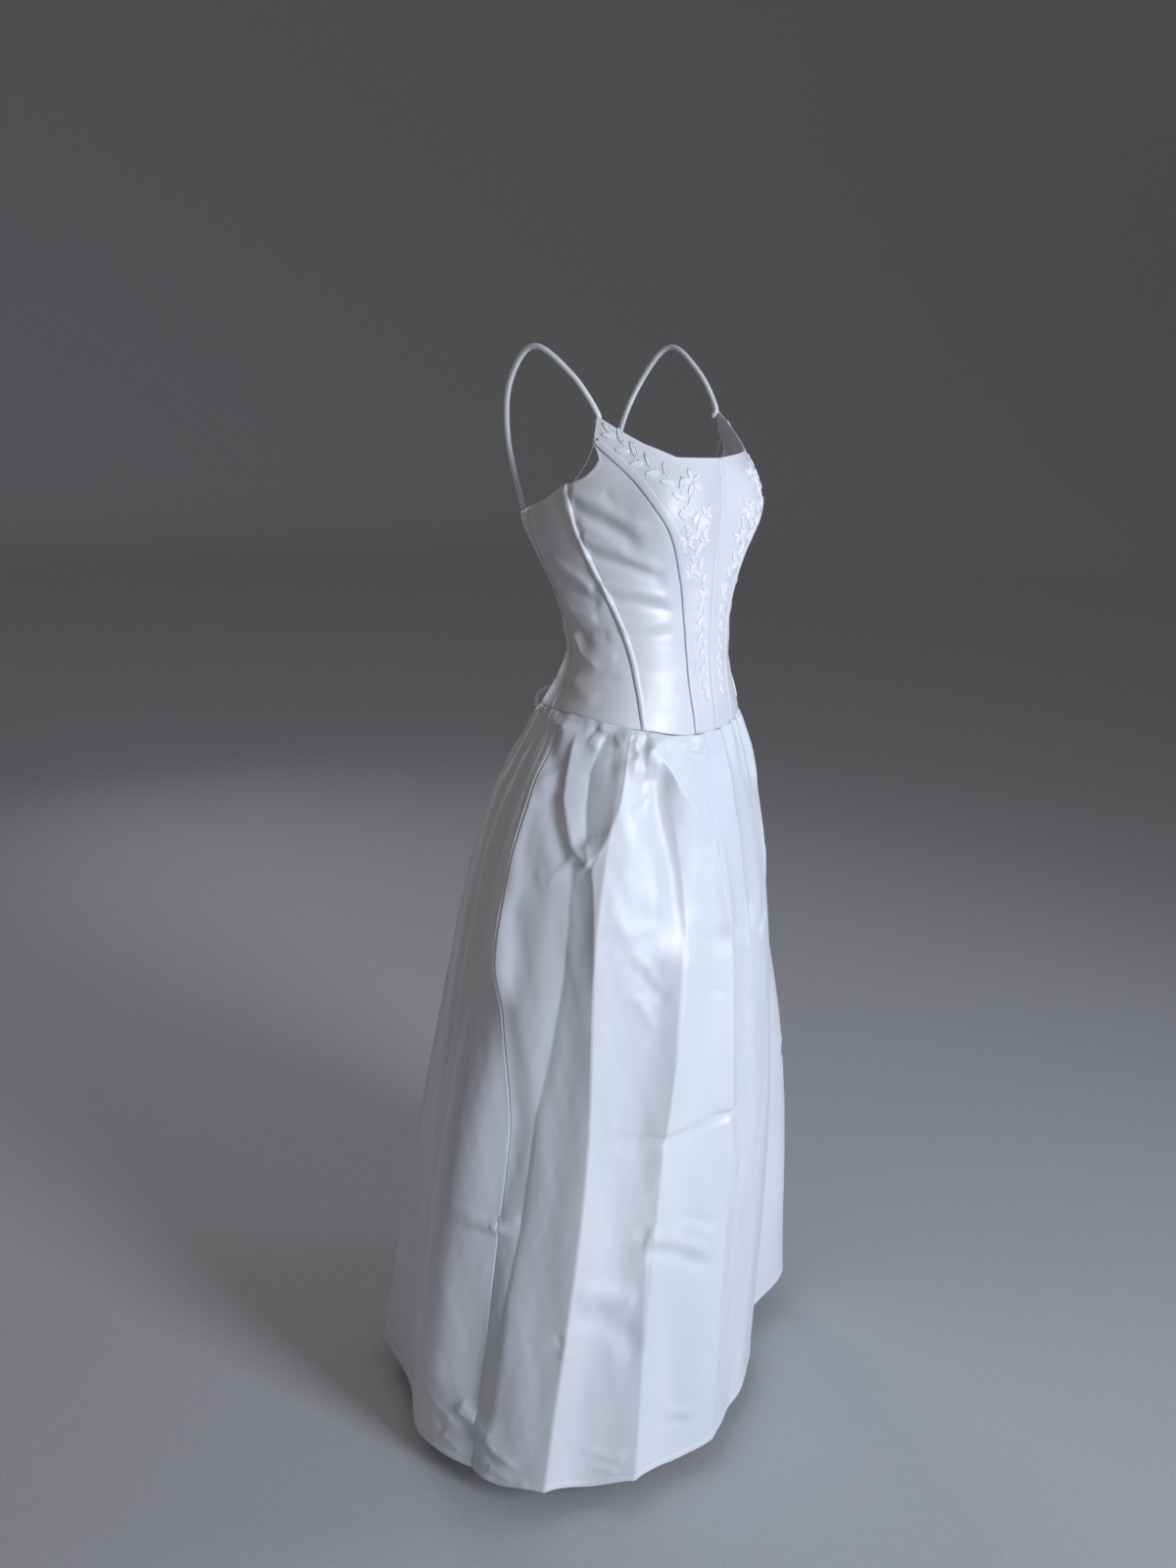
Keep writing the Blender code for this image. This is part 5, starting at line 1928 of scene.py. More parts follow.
    def loop(self, number: int, side: int, letter: str, material: bpy.types.Material) -> None:
        """One lacing loop: out of the edge, round and back in below.

        It reaches out as the sine of its turn and lifts as the sine's square.

        Args:
            number: its place, from the top.
            side: its edge, as for edge_frame.
            letter: the side's name.
            material: the satin.
        """
        turn = np.linspace(0.0, math.pi, 25)
        z = self.loop_heights[number] + self.loop_half_height * np.cos(turn)
        rim, normal, way = self.edge_frame(z, side)
        reach = self.loop_foot_gap + self.loop_reach * np.sin(turn)
        lift = self.loop_lift * np.sin(turn) ** 2
        route = rim + way * reach[:, None] + normal * lift[:, None]
        name = "loop_%s_%d" % (letter, number + 1)
        self.tube(name + "_cord", route, self.loop_diameter, 40, material, name, 12)

    def tip_frame(self, centre_z: float, side: int) -> tuple[Array, Array, Array, Array]:
        """The tip of a loop.

        Args:
            centre_z: the loop's height.
            side: its edge, as for edge_frame.

        Returns:
            The tip, and its ways onward, outward and down along the edge.
        """
        levels = centre_z + self.loop_half_height * np.array([0.5, 0.0, -0.5])
        rims, normals, ways = self.edge_frame(levels, side)
        down = unit(rims[2] - rims[0])
        forward = ways[1] * self.loop_reach + normals[1] * self.loop_lift
        tip = rims[1] + ways[1] * self.loop_foot_gap + forward
        forward = unit(forward - down * np.dot(forward, down))
        across = np.cross(forward, down)
        return tip, forward, across * np.sign(np.dot(across, normals[1])), down

    def lace_turn(self, centre_z: float, side: int, count: int = 9) -> Array:
        """The lace's way round a loop's tip, entering from inside and going down.

        Args:
            centre_z: the loop's height.
            side: its edge, as for edge_frame.
            count: points wanted.

        Returns:
            count points by 3.
        """
        tip, forward, across, down = self.tip_frame(centre_z, side)
        radius = (self.loop_diameter + self.lace_diameter) / 2 + self.lace_turn_gap
        turn = np.linspace(0.0, math.pi, count)[:, None]
        drift = np.linspace(-self.lace_drift, self.lace_drift, count)[:, None]
        return tip - radius * (np.cos(turn) * across + np.sin(turn) * forward) + drift * down

    def knot_place(self) -> Array:
        """Centre of the knot, at the centre back over the waist seam."""
        tip = self.tip_frame(self.loop_heights[-1], 1)[0]
        return np.array([0.0, tip[1] + self.knot_standoff, self.knot_z])

    def knot_exit(self, way: Sequence[float], reach: float = 0.0) -> Array:
        """A point just off the knot in a given direction."""
        out = self.knot_radius + self.knot_gap + reach
        return self.knot_place() + unit(np.array(way, float)) * out

    def lace_route(self) -> Array:
        """The whole lace, up one side's zigzag, across the top and down the other.

        Returns:
            Points by 3.
        """
        halves = []
        for mirror in (1.0, -1.0):
            half = []
            for number, height in enumerate(self.loop_heights):
                side = 1 if number % 2 == 0 else -1
                if number:
                    z = (self.loop_heights[number - 1] + self.loop_heights[number]) / 2
                    tip = self.tip_frame(z, 1)[0]
                    half.append([[0.0, tip[1] + mirror * self.lace_crossing_lift, z]])
                half.append(self.lace_turn(height, side) * np.array([mirror, 1.0, 1.0]))
            halves.append(np.concatenate(half))
        route = np.concatenate([halves[1][::-1], halves[0]])
        first = self.knot_exit(route[0] - self.knot_place(), -self.knot_tuck)
        last = self.knot_exit(route[-1] - self.knot_place(), -self.knot_tuck)
        return np.concatenate([[first], route, [last]])

    def knot(self, material: bpy.types.Material) -> None:
        """The knot: a flattened ball of three wraps of the lace.

        Its radius is R (0.84 + 0.16 |cos(1.5 v + 0.4 sin u)|) over turns u and v.

        Args:
            material: the satin.
        """
        u, v = ball_turns(48, 31)
        wraps = 0.84 + 0.16 * np.abs(np.cos(1.5 * (v - math.pi / 2) + 0.4 * np.sin(u)))
        piece = ball("lace_knot_wraps", u, v, self.knot_radius * 1.02 * wraps, self.knot_stretch,
                     self.knot_place(), self.knot_radius)
        dress_piece(piece, material, "trim_satin", "lace_knot")

    def bow(self, side: int, letter: str, material: bpy.types.Material) -> None:
        """One loop of the bow, out to the side, drooping and back.

        Args:
            side: -1 for the right and 1 for the left.
            letter: the side's name.
            material: the satin.
        """
        mirror = np.array([side, 1.0, 1.0])
        middle = [self.knot_place() + np.array(point) * mirror for point in self.bow_way]
        out = self.knot_exit(np.array(self.bow_out_way) * mirror, -self.knot_tuck)
        back = self.knot_exit(np.array(self.bow_back_way) * mirror, -self.knot_tuck)
        self.tube("bow_%s_cord" % letter, np.array([out, *middle, back]), self.lace_diameter, 60,
                  material, "bow_loop_" + letter)

    def build(self, material: bpy.types.Material, skirt: Skirt) -> None:
        """Make all the cords.

        Args:
            material: the satin.
            skirt: what the lace's ends hang over.
        """
        for side, letter in ((-1, "right"), (1, "left")):
            self.strap(side, letter, material)
            for number in range(len(self.loop_heights)):
                self.loop(number, -side, letter, material)
            self.bow(side, letter, material)
            self.tail(side, letter, material, skirt)
        self.tube("lacing_cord", self.lace_route(), self.lace_diameter, 620, material, "lacing", 12)
        self.knot(material)

    def tail(self, side: int, letter: str, material: bpy.types.Material, skirt: Skirt) -> None:
        """A free end of the lace, down over the skirt's back to a small end knot.

        Args:
            side: -1 for the right and 1 for the left.
            letter: the side's name.
            material: the satin.
            skirt: what it hangs over.
        """
        start = self.knot_exit(np.array(self.tail_way) * np.array([side, 1.0, 1.0]))
        share = np.linspace(0.0, 1.0, 16)
        drop = self.tail_lengths[int(side > 0)]
        z = start[2] - drop * share
        seam = float(skirt.form.waist(np.array(180.0))) - self.tail_under_seam
        place = np.full_like(z, self.tail_fold_place)
        angle, out = skirt.layout(place, np.minimum(z, seam))
        rest = skirt.surface(angle, out, np.minimum(z, seam))[:, 1] + self.tail_clearance
        x = start[0] + side * self.tail_spread * share
        path = smooth_path(np.stack([x, np.maximum(rest, start[1]), z], -1), self.tail_points)
        radius = np.full(self.tail_points, self.lace_diameter / 2)
        piece = MeshMaker.tube("lace_end_" + letter, path, radius, 14)
        dress_piece(piece, material, "trim_satin", "lace_tail_" + letter)
        tip = self.end_knot(path[-1], letter, material)

    def end_knot(self, centre: Array, letter: str,
                 material: bpy.types.Material) -> bpy.types.Object:
        """The small overhand knot at a free end, a ball with one wrap round it.

        Its radius is R (0.86 + 0.14 sin v |cos(v + 0.5 sin u)|) over turns u and v.

        Args:
            centre: the end of the lace.
            letter: the side's name.
            material: the satin.

        Returns:
            The piece.
        """
        u, v = ball_turns(32, 19)
        wrap = np.sin(v) * np.abs(np.cos(v - math.pi / 2 + 0.5 * np.sin(u)))
        piece = ball("lace_end_knot_" + letter, u, v, self.end_knot_radius * (0.86 + 0.14 * wrap),
                     self.end_knot_stretch, centre, self.end_knot_radius)
        return dress_piece(piece, material, "trim_satin")


@dataclass
class Studio:
    """Floor, lights and camera."""

    floor_z: float = -1.443
    camera_place: tuple[float, float, float] = (-1.553, -1.0746, 0.030)
    camera_azimuth: float = -55.69
    camera_pitch: float = 15.638
    camera_roll: float = 1.683
    focal_pixels: float = 1530.9
    image_size: tuple[int, int] = (1200, 1600)
    image_centre: tuple[float, float] = (616.97, 758.99)
    sensor: float = 36.0
    view_reach: float = 60.0
    # radii at which the floor has its first points, starts to rise and ends, and its height there
    floor_hole: float = 0.02
    floor_start: float = 8.0
    floor_rim: float = 16.0
    floor_wall: float = 9.0
    aim: tuple[float, float, float] = (0.0, 0.0, -0.6)
    light_spread: float = 110.0
    air_colour: str = "fbf8f8"
    air_strength: float = 0.155
    # name, place, width and height, watts and colour: a large cool key a little to the right
    # of the centre front, and weak fills
    lamps: tuple[tuple[str, tuple[float, float, float], tuple[float, float], float, str], ...] = (
        ("key_soft_box", (-0.50, -3.35, 0.05), (1.0, 2.4), 41.0, "e6f0ff"),
        ("right_soft_box", (2.0, -2.2, 0.3), (0.9, 2.0), 5.0, "e4eeff"),
        ("left_fill", (-2.6, 1.0, 0.4), (1.2, 1.8), 1.6, "fff0e6"),
        ("back_rim", (1.5, 3.0, 0.5), (1.4, 2.2), 8.0, "f6f8ff"))

    def floor(self) -> None:
        """A wide bowl of pale paper: level round the dress, and a far wall all round.

        Its height over the floor is wall ease((r - start) / (rim - start)) at a distance r.
        """
        material = StudioPaper("studio_paper", "c4c5c7", "bdbec1").make()
        start, rim = self.floor_start, self.floor_rim
        level = np.linspace(self.floor_hole, start, 12)
        r = np.concatenate([level, np.linspace(start, rim, 25)[1:]])
        turn = np.linspace(0, 2 * math.pi, 97)[:-1]
        rise = self.floor_z + self.floor_wall * ease((r - start) / (rim - start))
        verts = np.stack([r[:, None] * np.cos(turn), r[:, None] * np.sin(turn),
                          np.repeat(rise[:, None], len(turn), 1)], -1)
        faces = [MeshMaker.grid_faces(len(r), len(turn), flip=True, wrap=True),
                 np.arange(len(turn))[None, :]]
        paper = MeshMaker.build("studio_floor", verts.reshape(-1, 3), faces)
        paper.data.materials.append(material)

    def area_light(self, name: str, place: tuple[float, float, float], size: tuple[float, float],
                   power: float, colour: str) -> None:
        """A soft box that faces the dress.

        Args:
            name: the light's name.
            place: where it stands.
            size: its width and height in metres.
            power: watts.
            colour: sRGB hex.
        """
        data = bpy.data.lights.new(name, "AREA")
        data.shape = "RECTANGLE"
        data.size, data.size_y = size
        data.energy = power
        data.color = linear(colour)[:3]
        data.spread = math.radians(self.light_spread)
        lamp = bpy.data.objects.new(name, data)
        bpy.context.scene.collection.objects.link(lamp)
        turn = (Vector(self.aim) - Vector(place)).to_track_quat("-Z", "Y").to_matrix().to_4x4()
        lamp.matrix_world = Matrix.Translation(Vector(place)) @ turn

    def lights(self) -> None:
        """The soft boxes, and a faint light from all round."""
        for lamp in self.lamps:
            self.area_light(*lamp)
        world = bpy.data.worlds.new("studio_air")
        bpy.context.scene.world = world
        world.use_nodes = True
        back = world.node_tree.nodes["Background"]
        back.inputs["Color"].default_value = linear(self.air_colour)
        back.inputs["Strength"].default_value = self.air_strength
        bpy.context.scene.view_settings.view_transform = "Standard"

    def camera(self) -> None:
        """The camera at the photo's viewing angle."""
        data = bpy.data.cameras.new("photo_view")
        width, height = self.image_size
        data.sensor_fit = "VERTICAL"
        data.sensor_height = self.sensor
        data.lens = self.focal_pixels / height * self.sensor
        data.shift_x = (width / 2 - self.image_centre[0]) / height
        data.shift_y = (self.image_centre[1] - height / 2) / height
        data.clip_end = self.view_reach
        view = bpy.data.objects.new("photo_view", data)
        bpy.context.scene.collection.objects.link(view)
        azimuth = math.radians(self.camera_azimuth)
        pitch = math.radians(self.camera_pitch)
        roll = math.radians(self.camera_roll)
        level = Vector((-math.sin(azimuth), math.cos(azimuth), 0.0))
        up = Vector((0.0, 0.0, 1.0))
        flat_right = Vector((level.y, -level.x, 0.0))
        ahead = level * math.cos(pitch) - up * math.sin(pitch)
        flat_up = level * math.sin(pitch) + up * math.cos(pitch)
        right = flat_right * math.cos(roll) + flat_up * math.sin(roll)
        upward = flat_up * math.cos(roll) - flat_right * math.sin(roll)
        turn = Matrix((right, upward, -ahead)).transposed().to_4x4()
        view.matrix_world = Matrix.Translation(Vector(self.camera_place)) @ turn
        bpy.context.scene.camera = view

    def build(self) -> None:
        """Set up the floor, the lights and the camera."""
        self.camera()
        self.floor()
        self.lights()


BODICE_CREASES: tuple[Crease, ...] = (
    # drag lines of the side front, from the armhole to the princess seam
    *crease_rows(Crest.SOFT,
        (3.1, 12, 9, 12, 25, (92, 155), (66, 172), (42, 199)),
        (-3.1, 9, 10, 12, 25, (91, 170), (68, 190), (46, 215)),
        (3, 10, 8, 10, 20, (84, 205), (60, 222), (36, 243)),
        (-3.1, 8, 9, 10, 18, (82, 226), (56, 240), (34, 257)),
        (2.6, 9, 7, 10, 18, (76, 262), (53, 267), (31, 281)),
        (-2.6, 7, 8, 10, 18, (73, 280), (52, 284), (30, 293)),
        (1.1, 7, 6, 12, 18, (68, 316), (49, 311), (29, 305)),
        (-1.1, 6, 8, 12, 18, (66, 326), (47, 322), (28, 320)),
        (0.5, 7, 8, 12, 12, (60, 345), (45, 340), (28, 345)),
        (-0.4, 7, 8, 12, 12, (58, 362), (44, 366), (26, 370)),
        (0.5, 8, 8, 12, 12, (55, 382), (40, 380), (27, 388)),
        (-0.4, 8, 8, 12, 12, (50, 402), (38, 408), (24, 404)),
        (1.6, 7, 7, 12, 20, (86, 188), (70, 203), (52, 224)),
        (-1.2, 7, 7, 12, 15, (70, 150), (62, 172), (50, 180))),
    # drag lines of the side back
    *crease_rows(Crest.SHARP,
        (3.2, 9, 12, 12, 20, (114, 262), (102, 290), (92, 328)),
        (2.6, 9, 11, 12, 20, (108, 322), (97, 350), (80, 368))),
    *crease_rows(Crest.SOFT,
        (-3.2, 12, 10, 12, 20, (110, 290), (100, 318), (90, 350)),
        (1.8, 9, 10, 12, 20, (105, 378), (90, 395), (76, 404)),
        (2.6, 10, 8, 15, 12, (108, 235), (96, 248), (79, 272)),
        (-2, 9, 9, 15, 12, (110, 256), (96, 270), (76, 289)),
        (1.8, 9, 7, 18, 12, (114, 290), (98, 300), (80, 304)),
        (-1.6, 8, 9, 18, 12, (114, 312), (96, 322), (72, 326)),
        (1.4, 8, 8, 18, 12, (112, 345), (92, 350), (68, 348)),
        (-1, 8, 8, 18, 15, (110, 375), (90, 372), (64, 376))),
    # small drag lines beside the centre front
    *crease_rows(Crest.SOFT,
        (1, 4, 4, 8, 8, (21, 303), (9, 303)),
        (-0.9, 4, 4, 8, 8, (21, 312), (8, 313)),
        (0.9, 4, 4, 8, 8, (20, 322), (6, 321)),
        (-0.8, 4, 4, 8, 8, (20, 334), (6, 334)),
        (0.8, 5, 5, 8, 8, (20, 354), (6, 360)),
        (0.8, 5, 5, 8, 8, (25, 252), (9, 262)),
        (-0.8, 5, 5, 8, 8, (24, 268), (9, 276))),
    # drag lines of the back
    *crease_rows(Crest.SOFT,
        (1.2, 9, 9, 15, 15, (134, 250), (150, 262)),
        (-1.2, 9, 9, 15, 15, (124, 290), (154, 300)),
        (1.3, 9, 9, 15, 15, (122, 330), (155, 326)),
        (-1.1, 8, 8, 15, 15, (124, 360), (156, 352))),
)

SKIRT_CREASES: tuple[Crease, ...] = (
    # the kite-shaped fold under the right hip, and the line that drops from its tip
    *crease_rows(Crest.SHARP,
        (6.5, 11, 46, 10, 130, (53.5, 428), (53.8, 465), (54.3, 493), (55.3, 521), (58.1, 549),
            (62.8, 591), (61.2, 615), (60, 642), (58.6, 700), (57, 780)),
        (-6.5, 20, 20, 15, 22, (66, 434), (70, 460), (72.3, 483), (70.5, 525), (67.8, 558),
            (65.5, 572)),
        (2.4, 4, 9, 6, 4, (68, 561), (65.8, 573), (63.4, 590)),
        (5.5, 6, 17, 22, 6, (85, 434), (83.5, 480), (81.6, 514), (75.3, 552), (72.8, 568),
            (64, 589)),
        (-2.6, 26, 9, 12, 60, (71.5, 580), (69.8, 661), (69.5, 734), (71.5, 829), (74.2, 906),
            (75.2, 1060), (78.8, 1213), (81, 1320)),
        (1.6, 5, 6, 8, 12, (72, 574), (77, 600), (81, 622)),
        (1.2, 5, 5, 8, 10, (86, 600), (81, 624))),
    *crease_rows(Crest.SOFT,
        (-3.6, 14, 8, 20, 12, (90, 505), (84, 545), (78, 575), (72, 588)),
        (-6, 10, 9, 12, 16, (97, 432), (95, 460), (91, 494))),
    # the right side: the bright strip at the hip and the long folds under it
    *crease_rows(Crest.SHARP,
        (-2.6, 10, 28, 25, 60, (94, 500), (93, 573), (90.5, 623), (91.8, 662), (89.5, 715),
            (86, 780)),
        (2.4, 7, 7, 6, 12, (85.5, 1058), (75, 1041))),
    *crease_rows(Crest.SOFT,
        (8.5, 12, 20, 14, 70, (97.5, 420), (98.9, 500), (97.9, 573), (95.7, 623), (97.4, 662),
            (95.1, 715), (91.5, 790)),
        (-5.5, 38, 22, 90, 14, (92.5, 700), (90.2, 786), (84.6, 857), (81.5, 922), (83.2, 1013),
            (85, 1058)),
        (-5.5, 42, 24, 14, 25, (84.2, 1060), (84.5, 1168), (83, 1235), (82, 1335)),
        (7, 32, 42, 110, 50, (97, 780), (98, 900), (101, 1050), (103, 1200), (103, 1340)),
        (-5, 24, 16, 20, 60, (108, 430), (110, 560), (110, 700), (113, 860), (116, 1050),
            (117, 1300))),
    # the deep fold that sweeps from the waist to the front
    *crease_rows(Crest.SHARP,
        (10, 28, 16, 14, 45, (43.6, 440), (34.5, 474), (23.6, 522), (14.5, 570), (11.5, 626),
            (9.6, 672), (8.2, 717))),
    *crease_rows(Crest.SOFT,
        (-10, 24, 22, 25, 70, (42.6, 469), (38.8, 516), (34.6, 559), (30.8, 613), (28.5, 657),
            (27.5, 710))),
    # short creases along the waist
    *crease_rows(Crest.SHARP,
        (1.5, 5, 5, 6, 6, (49, 519), (41, 498))),
    *crease_rows(Crest.SOFT,
        (-2.5, 8, 8, 12, 15, (14.6, 457), (14, 499), (11, 556)),
        (2, 5, 6, 8, 8, (26, 447), (22, 460), (15, 463)),
        (-1.8, 6, 6, 8, 8, (25, 458), (20, 470), (14, 474)),
        (1.8, 6, 6, 8, 8, (13, 463), (7, 474), (0, 472)),
        (2.2, 7, 7, 8, 8, (53, 440), (48, 456), (41, 459)),
        (-2, 7, 8, 8, 8, (52, 453), (46, 470), (39, 473)),
        (2.4, 7, 8, 8, 8, (78, 441), (70, 455), (61, 454), (56, 444)),
        (-2.2, 6, 6, 6, 8, (77, 431), (69, 441), (61, 441)),
        (-1.2, 6, 6, 6, 6, (50, 527), (42, 507))),
    # the far edge of the front
    *crease_rows(Crest.SHARP,
        (2.6, 14, 7, 10, 30, (1, 453), (0, 510), (-3, 578), (-3, 641), (-5, 687))),
    *crease_rows(Crest.SOFT,
        (2.6, 7, 7, 15, 20, (-5, 661), (-6, 728), (-16, 738), (-28, 700)),
        (-2.6, 7, 7, 10, 15, (-8, 668), (-10, 715), (-20, 722))),
    # crumples over the knees
    *crease_rows(Crest.SOFT,
        (0.6, 9, 12, 20, 20, (52, 663), (47, 671), (41, 667), (36, 677)),
        (0.6, 8, 11, 20, 20, (29, 674), (24, 667), (18, 679), (12, 690)),
        (1.4, 14, 12, 20, 20, (54, 640), (47, 668), (42, 705)),
        (1.6, 14, 12, 25, 25, (40, 560), (36, 610), (38, 660)),
        (0.6, 8, 12, 20, 20, (54, 943), (48, 951), (43, 947)),
        (0.5, 8, 12, 20, 20, (36, 958), (28, 953), (20, 964)),
        (1.5, 7, 7, 12, 15, (46, 690), (40, 722), (34, 748)),
        (-1.5, 8, 8, 15, 15, (44, 706), (38, 738), (33, 764)),
        (1.2, 8, 8, 12, 15, (46, 742), (40, 770), (36, 800))),
    # ridges of the front
    *crease_rows(Crest.SHARP,
        (7, 28, 40, 40, 12, (28, 680), (30, 788), (31, 882), (32, 935)),
        (-1.4, 4, 7, 10, 10, (24, 751), (10, 768)),
        (6, 28, 10, 30, 5, (8, 690), (9, 853), (9, 929)),
        (-2, 4, 5, 10, 6, (17, 924), (9, 931)),
        (4.5, 20, 10, 6, 40, (9, 934), (7, 985), (2, 1040))),
    *crease_rows(Crest.SOFT,
        (1.6, 10, 10, 10, 20, (33, 940), (34, 975), (37, 1010))),
    # crumples of the lower front
    *crease_rows(Crest.SHARP,
        (2.6, 22, 7, 8, 10, (36.5, 1060), (36, 1181), (36, 1293), (35.8, 1400)),
        (-1.4, 5, 5, 6, 8, (36, 1050), (40, 1062)),
        (-2.2, 5, 5, 6, 8, (60, 1178), (58, 1202))),
    *crease_rows(Crest.SOFT,
        (3.4, 12, 10, 6, 40, (37, 1060), (29, 1076), (21, 1100), (12, 1126)),
        (-3.4, 10, 15, 8, 40, (36, 1079), (28, 1098), (20, 1124), (11, 1150)),
        (-1.5, 7, 8, 12, 15, (26, 1050), (11, 1088)),
        (1.3, 7, 7, 12, 15, (24, 1064), (12, 1100)),
        (3.4, 19, 13, 20, 14, (56, 1120), (47, 1134), (38, 1150)),
        (-3.6, 15, 17, 15, 25, (57, 1155), (47, 1172), (40, 1200), (37, 1240)),
        (1.2, 5, 5, 5, 8, (58.5, 1200), (55, 1215))),
    # crumples over the hem
    *crease_rows(Crest.SHARP,
        (2.8, 5, 8, 14, 14, (105, 1312), (99, 1340), (91, 1356)),
        (3.8, 5, 9, 14, 24, (92, 1330), (84, 1344), (76, 1366), (67, 1382)),
        (-3, 6, 8, 12, 18, (91, 1352), (83, 1366), (74, 1390)),
        (-2.2, 5, 6, 8, 8, (99, 1356), (94, 1376)),
        (2.4, 6, 6, 8, 14, (90, 1318), (84, 1338), (76, 1352)),
        (1.8, 6, 6, 8, 8, (96, 1380), (88, 1394)),
        (2, 8, 8, 10, 10, (110, 1300), (104, 1330))),
    *crease_rows(Crest.SOFT,
        (1.6, 7, 7, 8, 10, (78, 1392), (70, 1400), (64, 1398)),
        (1.5, 7, 8, 12, 12, (28, 1330), (18, 1350)),
        (-1.2, 7, 8, 12, 12, (26, 1352), (15, 1372)),
        (1.4, 7, 8, 12, 12, (52, 1352), (44, 1368), (38, 1372)),
        (1.3, 6, 6, 12, 12, (50, 1380), (40, 1392))),
)

# like the ones that show, placed on the left side and the back
HIDDEN_CREASES: tuple[Crease, ...] = (
    # folds of the left side
    *crease_rows(Crest.SHARP,
        (4.5, 7, 12, 12, 60, (-30, 440), (-34, 500), (-33, 590), (-29, 690)),
        (5, 10, 9, 12, 90, (-62, 430), (-64, 520), (-61, 640), (-57, 800)),
        (4, 8, 12, 12, 70, (-100, 422), (-102, 540), (-104, 690))),
    *crease_rows(Crest.SOFT,
        (-6, 12, 12, 12, 80, (-40, 436), (-45, 500), (-46, 600), (-44, 720)),
        (-6, 13, 13, 12, 90, (-84, 425), (-86, 520), (-84, 640), (-80, 820))),
    # folds of the back
    *crease_rows(Crest.SHARP,
        (4.5, 10, 8, 12, 90, (-118, 424), (-119, 540), (-121, 700), (-120, 900)),
        (4, 9, 9, 12, 90, (-153, 430), (-155, 560), (-158, 760), (-160, 960)),
        (4.5, 9, 11, 12, 90, (138, 428), (140, 560), (143, 740), (146, 960), (148, 1250)),
        (3.5, 7, 8, 12, 60, (170, 430), (171, 550), (173, 700))),
    *crease_rows(Crest.SOFT,
        (-5, 12, 12, 12, 80, (-134, 428), (-137, 560), (-139, 740)),
        (-4, 9, 9, 12, 60, (-170, 430), (-171, 540), (-172, 680)),
        (-5, 12, 12, 12, 90, (124, 424), (126, 560), (124, 740), (122, 960)),
        (-4.5, 10, 10, 12, 70, (157, 430), (158, 560), (158, 720))),
    # crumples
    *crease_rows(Crest.SHARP,
        (1.8, 5, 6, 15, 20, (-50, 960), (-66, 985)),
        (2.2, 6, 7, 15, 20, (-108, 1220), (-128, 1200), (-140, 1215)),
        (2.2, 6, 7, 15, 20, (128, 1240), (146, 1262), (158, 1255))),
    *crease_rows(Crest.SOFT,
        (-2, 5, 6, 15, 15, (-20, 1040), (-36, 1062)),
        (-1.8, 6, 6, 15, 20, (-52, 985), (-68, 1010)),
        (1.8, 6, 6, 15, 15, (-74, 1180), (-90, 1160)),
        (-1.8, 6, 6, 15, 15, (-100, 900), (-116, 930)),
        (1.4, 6, 6, 20, 20, (-150, 1060), (-172, 1080)),
        (2, 5, 6, 12, 12, (-60, 1340), (-74, 1362)),
        (2, 5, 6, 12, 12, (-124, 1340), (-138, 1366)),
        (-1.8, 6, 6, 15, 15, (118, 1060), (134, 1045)),
        (1.4, 6, 6, 15, 15, (150, 860), (168, 880)),
        (2, 5, 6, 12, 12, (116, 1330), (128, 1356)),
        (1.8, 5, 6, 12, 12, (160, 1350), (174, 1368))),
)


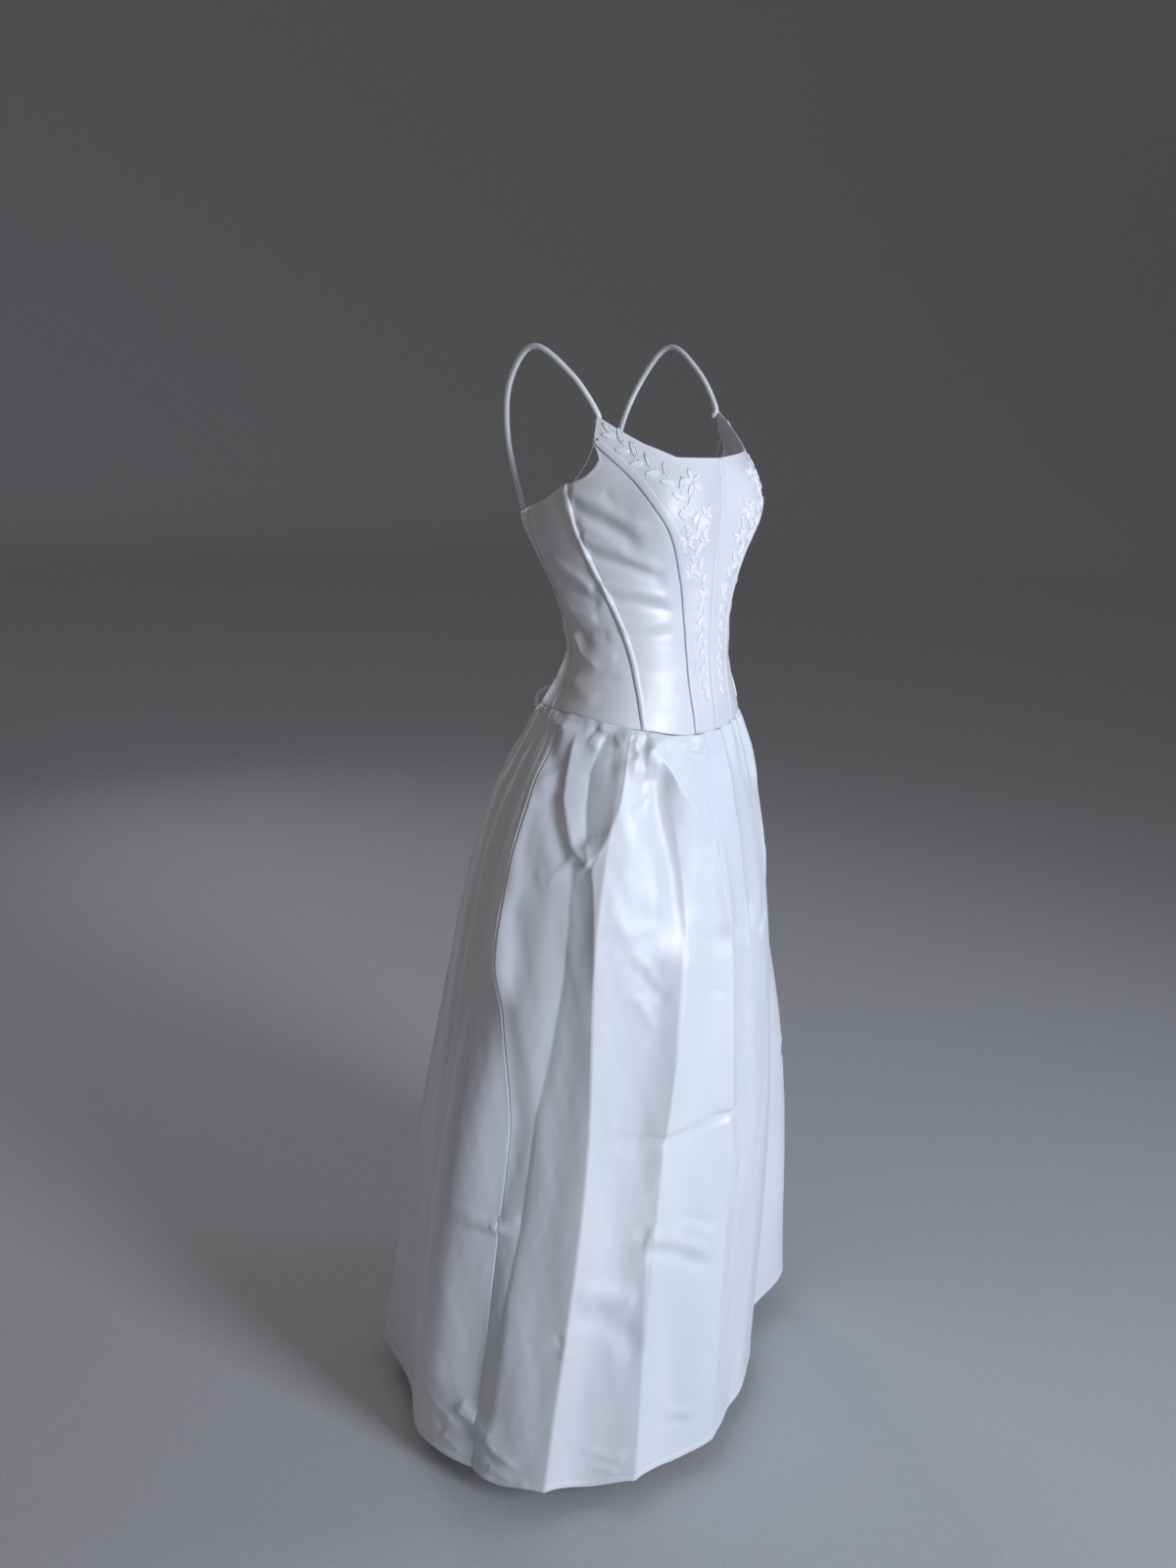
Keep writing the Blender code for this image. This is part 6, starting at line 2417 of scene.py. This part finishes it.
@dataclass(frozen=True)
class WaistGathers:
    """Small uneven gathers that hang from the waist seam, some 7 degrees apart.

    Attributes:
        seed: picks them.
        ends: first angle, and the angle at which they stop.
        steps: least and most degrees from one to the next.
        lengths: least and most metres.
        leans: degrees that the foot lies to the side of the head.
        depths: least and most millimetres.
        widths: least and most millimetres on the side of the smaller angles.
        side_z: height of the waist seam at the sides.
        end_drop: how much lower it is at the centre front and back.
        lift: how far the head lies over the seam.
        placed: angles between which the listed creases lie over them.
        placed_share: their depth there, as a share.
    """

    seed: int = 5
    ends: tuple[float, float] = (-178.0, 178.0)
    steps: tuple[float, float] = (4.0, 9.0)
    lengths: tuple[float, float] = (0.040, 0.120)
    leans: tuple[float, float] = (-3.0, 3.0)
    depths: tuple[float, float] = (1.6, 3.2)
    widths: tuple[float, float] = (4.0, 7.5)
    side_z: float = -0.4200
    end_drop: float = 0.026
    lift: float = 0.006
    placed: tuple[float, float] = (28.0, 100.0)
    placed_share: float = 0.5

    def creases(self) -> tuple[Crease, ...]:
        """Troughs and ridges in turn, round the whole waist.

        Returns:
            The gathers.
        """
        chance = np.random.default_rng(self.seed)
        found = []
        angle, stop = self.ends
        while angle < stop:
            length = chance.uniform(*self.lengths)
            lean = chance.uniform(*self.leans)
            depth = chance.uniform(*self.depths) * (1 if len(found) % 2 else -1)
            width = chance.uniform(*self.widths)
            top = self.side_z - self.end_drop * math.cos(math.radians(angle)) ** 2
            line = ((angle, top + self.lift), (angle + lean * 0.4, top - length * 0.5),
                    (angle + lean, top - length))
            if self.placed[0] < angle < self.placed[1]:
                depth *= self.placed_share
            found.append(Crease(line, depth, plus=width, minus=width * 1.3, crest=Crest.SOFT,
                                fade_in=5, fade_out=35))
            angle += chance.uniform(*self.steps)
        return tuple(found)


def main() -> None:
    """Build the dress piece by piece, then the studio."""
    logging.basicConfig(level=logging.INFO, format="%(name)s: %(message)s")
    form = DressForm()
    bodice_creases = BODICE_CREASES + tuple(crease.mirrored() for crease in BODICE_CREASES)
    skirt_creases = SKIRT_CREASES + HIDDEN_CREASES + WaistGathers().creases()
    rough = (0.36, 0.46)
    satin = DuchessSatin("bodice_duchess_satin", "e9e8eb", "dfdfe4", 0.0003, rough).make()
    skirt_satin = DuchessSatin("skirt_duchess_satin", "e7e9ed", "dde0e7", 0.0005, rough).make()
    thread = RayonThread("embroidery_rayon", "f5f6f8", "e9ebf0").make()
    cord = RouleauCord("rouleau_satin", "eceef3", "dee1e9").make()
    Studio().build()
    skirt = Skirt(form, skirt_creases)
    skirt.build(skirt_satin)
    bodice = Bodice(form, bodice_creases)
    bodice.build(satin)
    Embroidery(bodice).build(thread)
    Stitching(bodice).build(thread)
    Trimmings(form).build(cord, skirt)


if __name__ == "__main__":
    main()
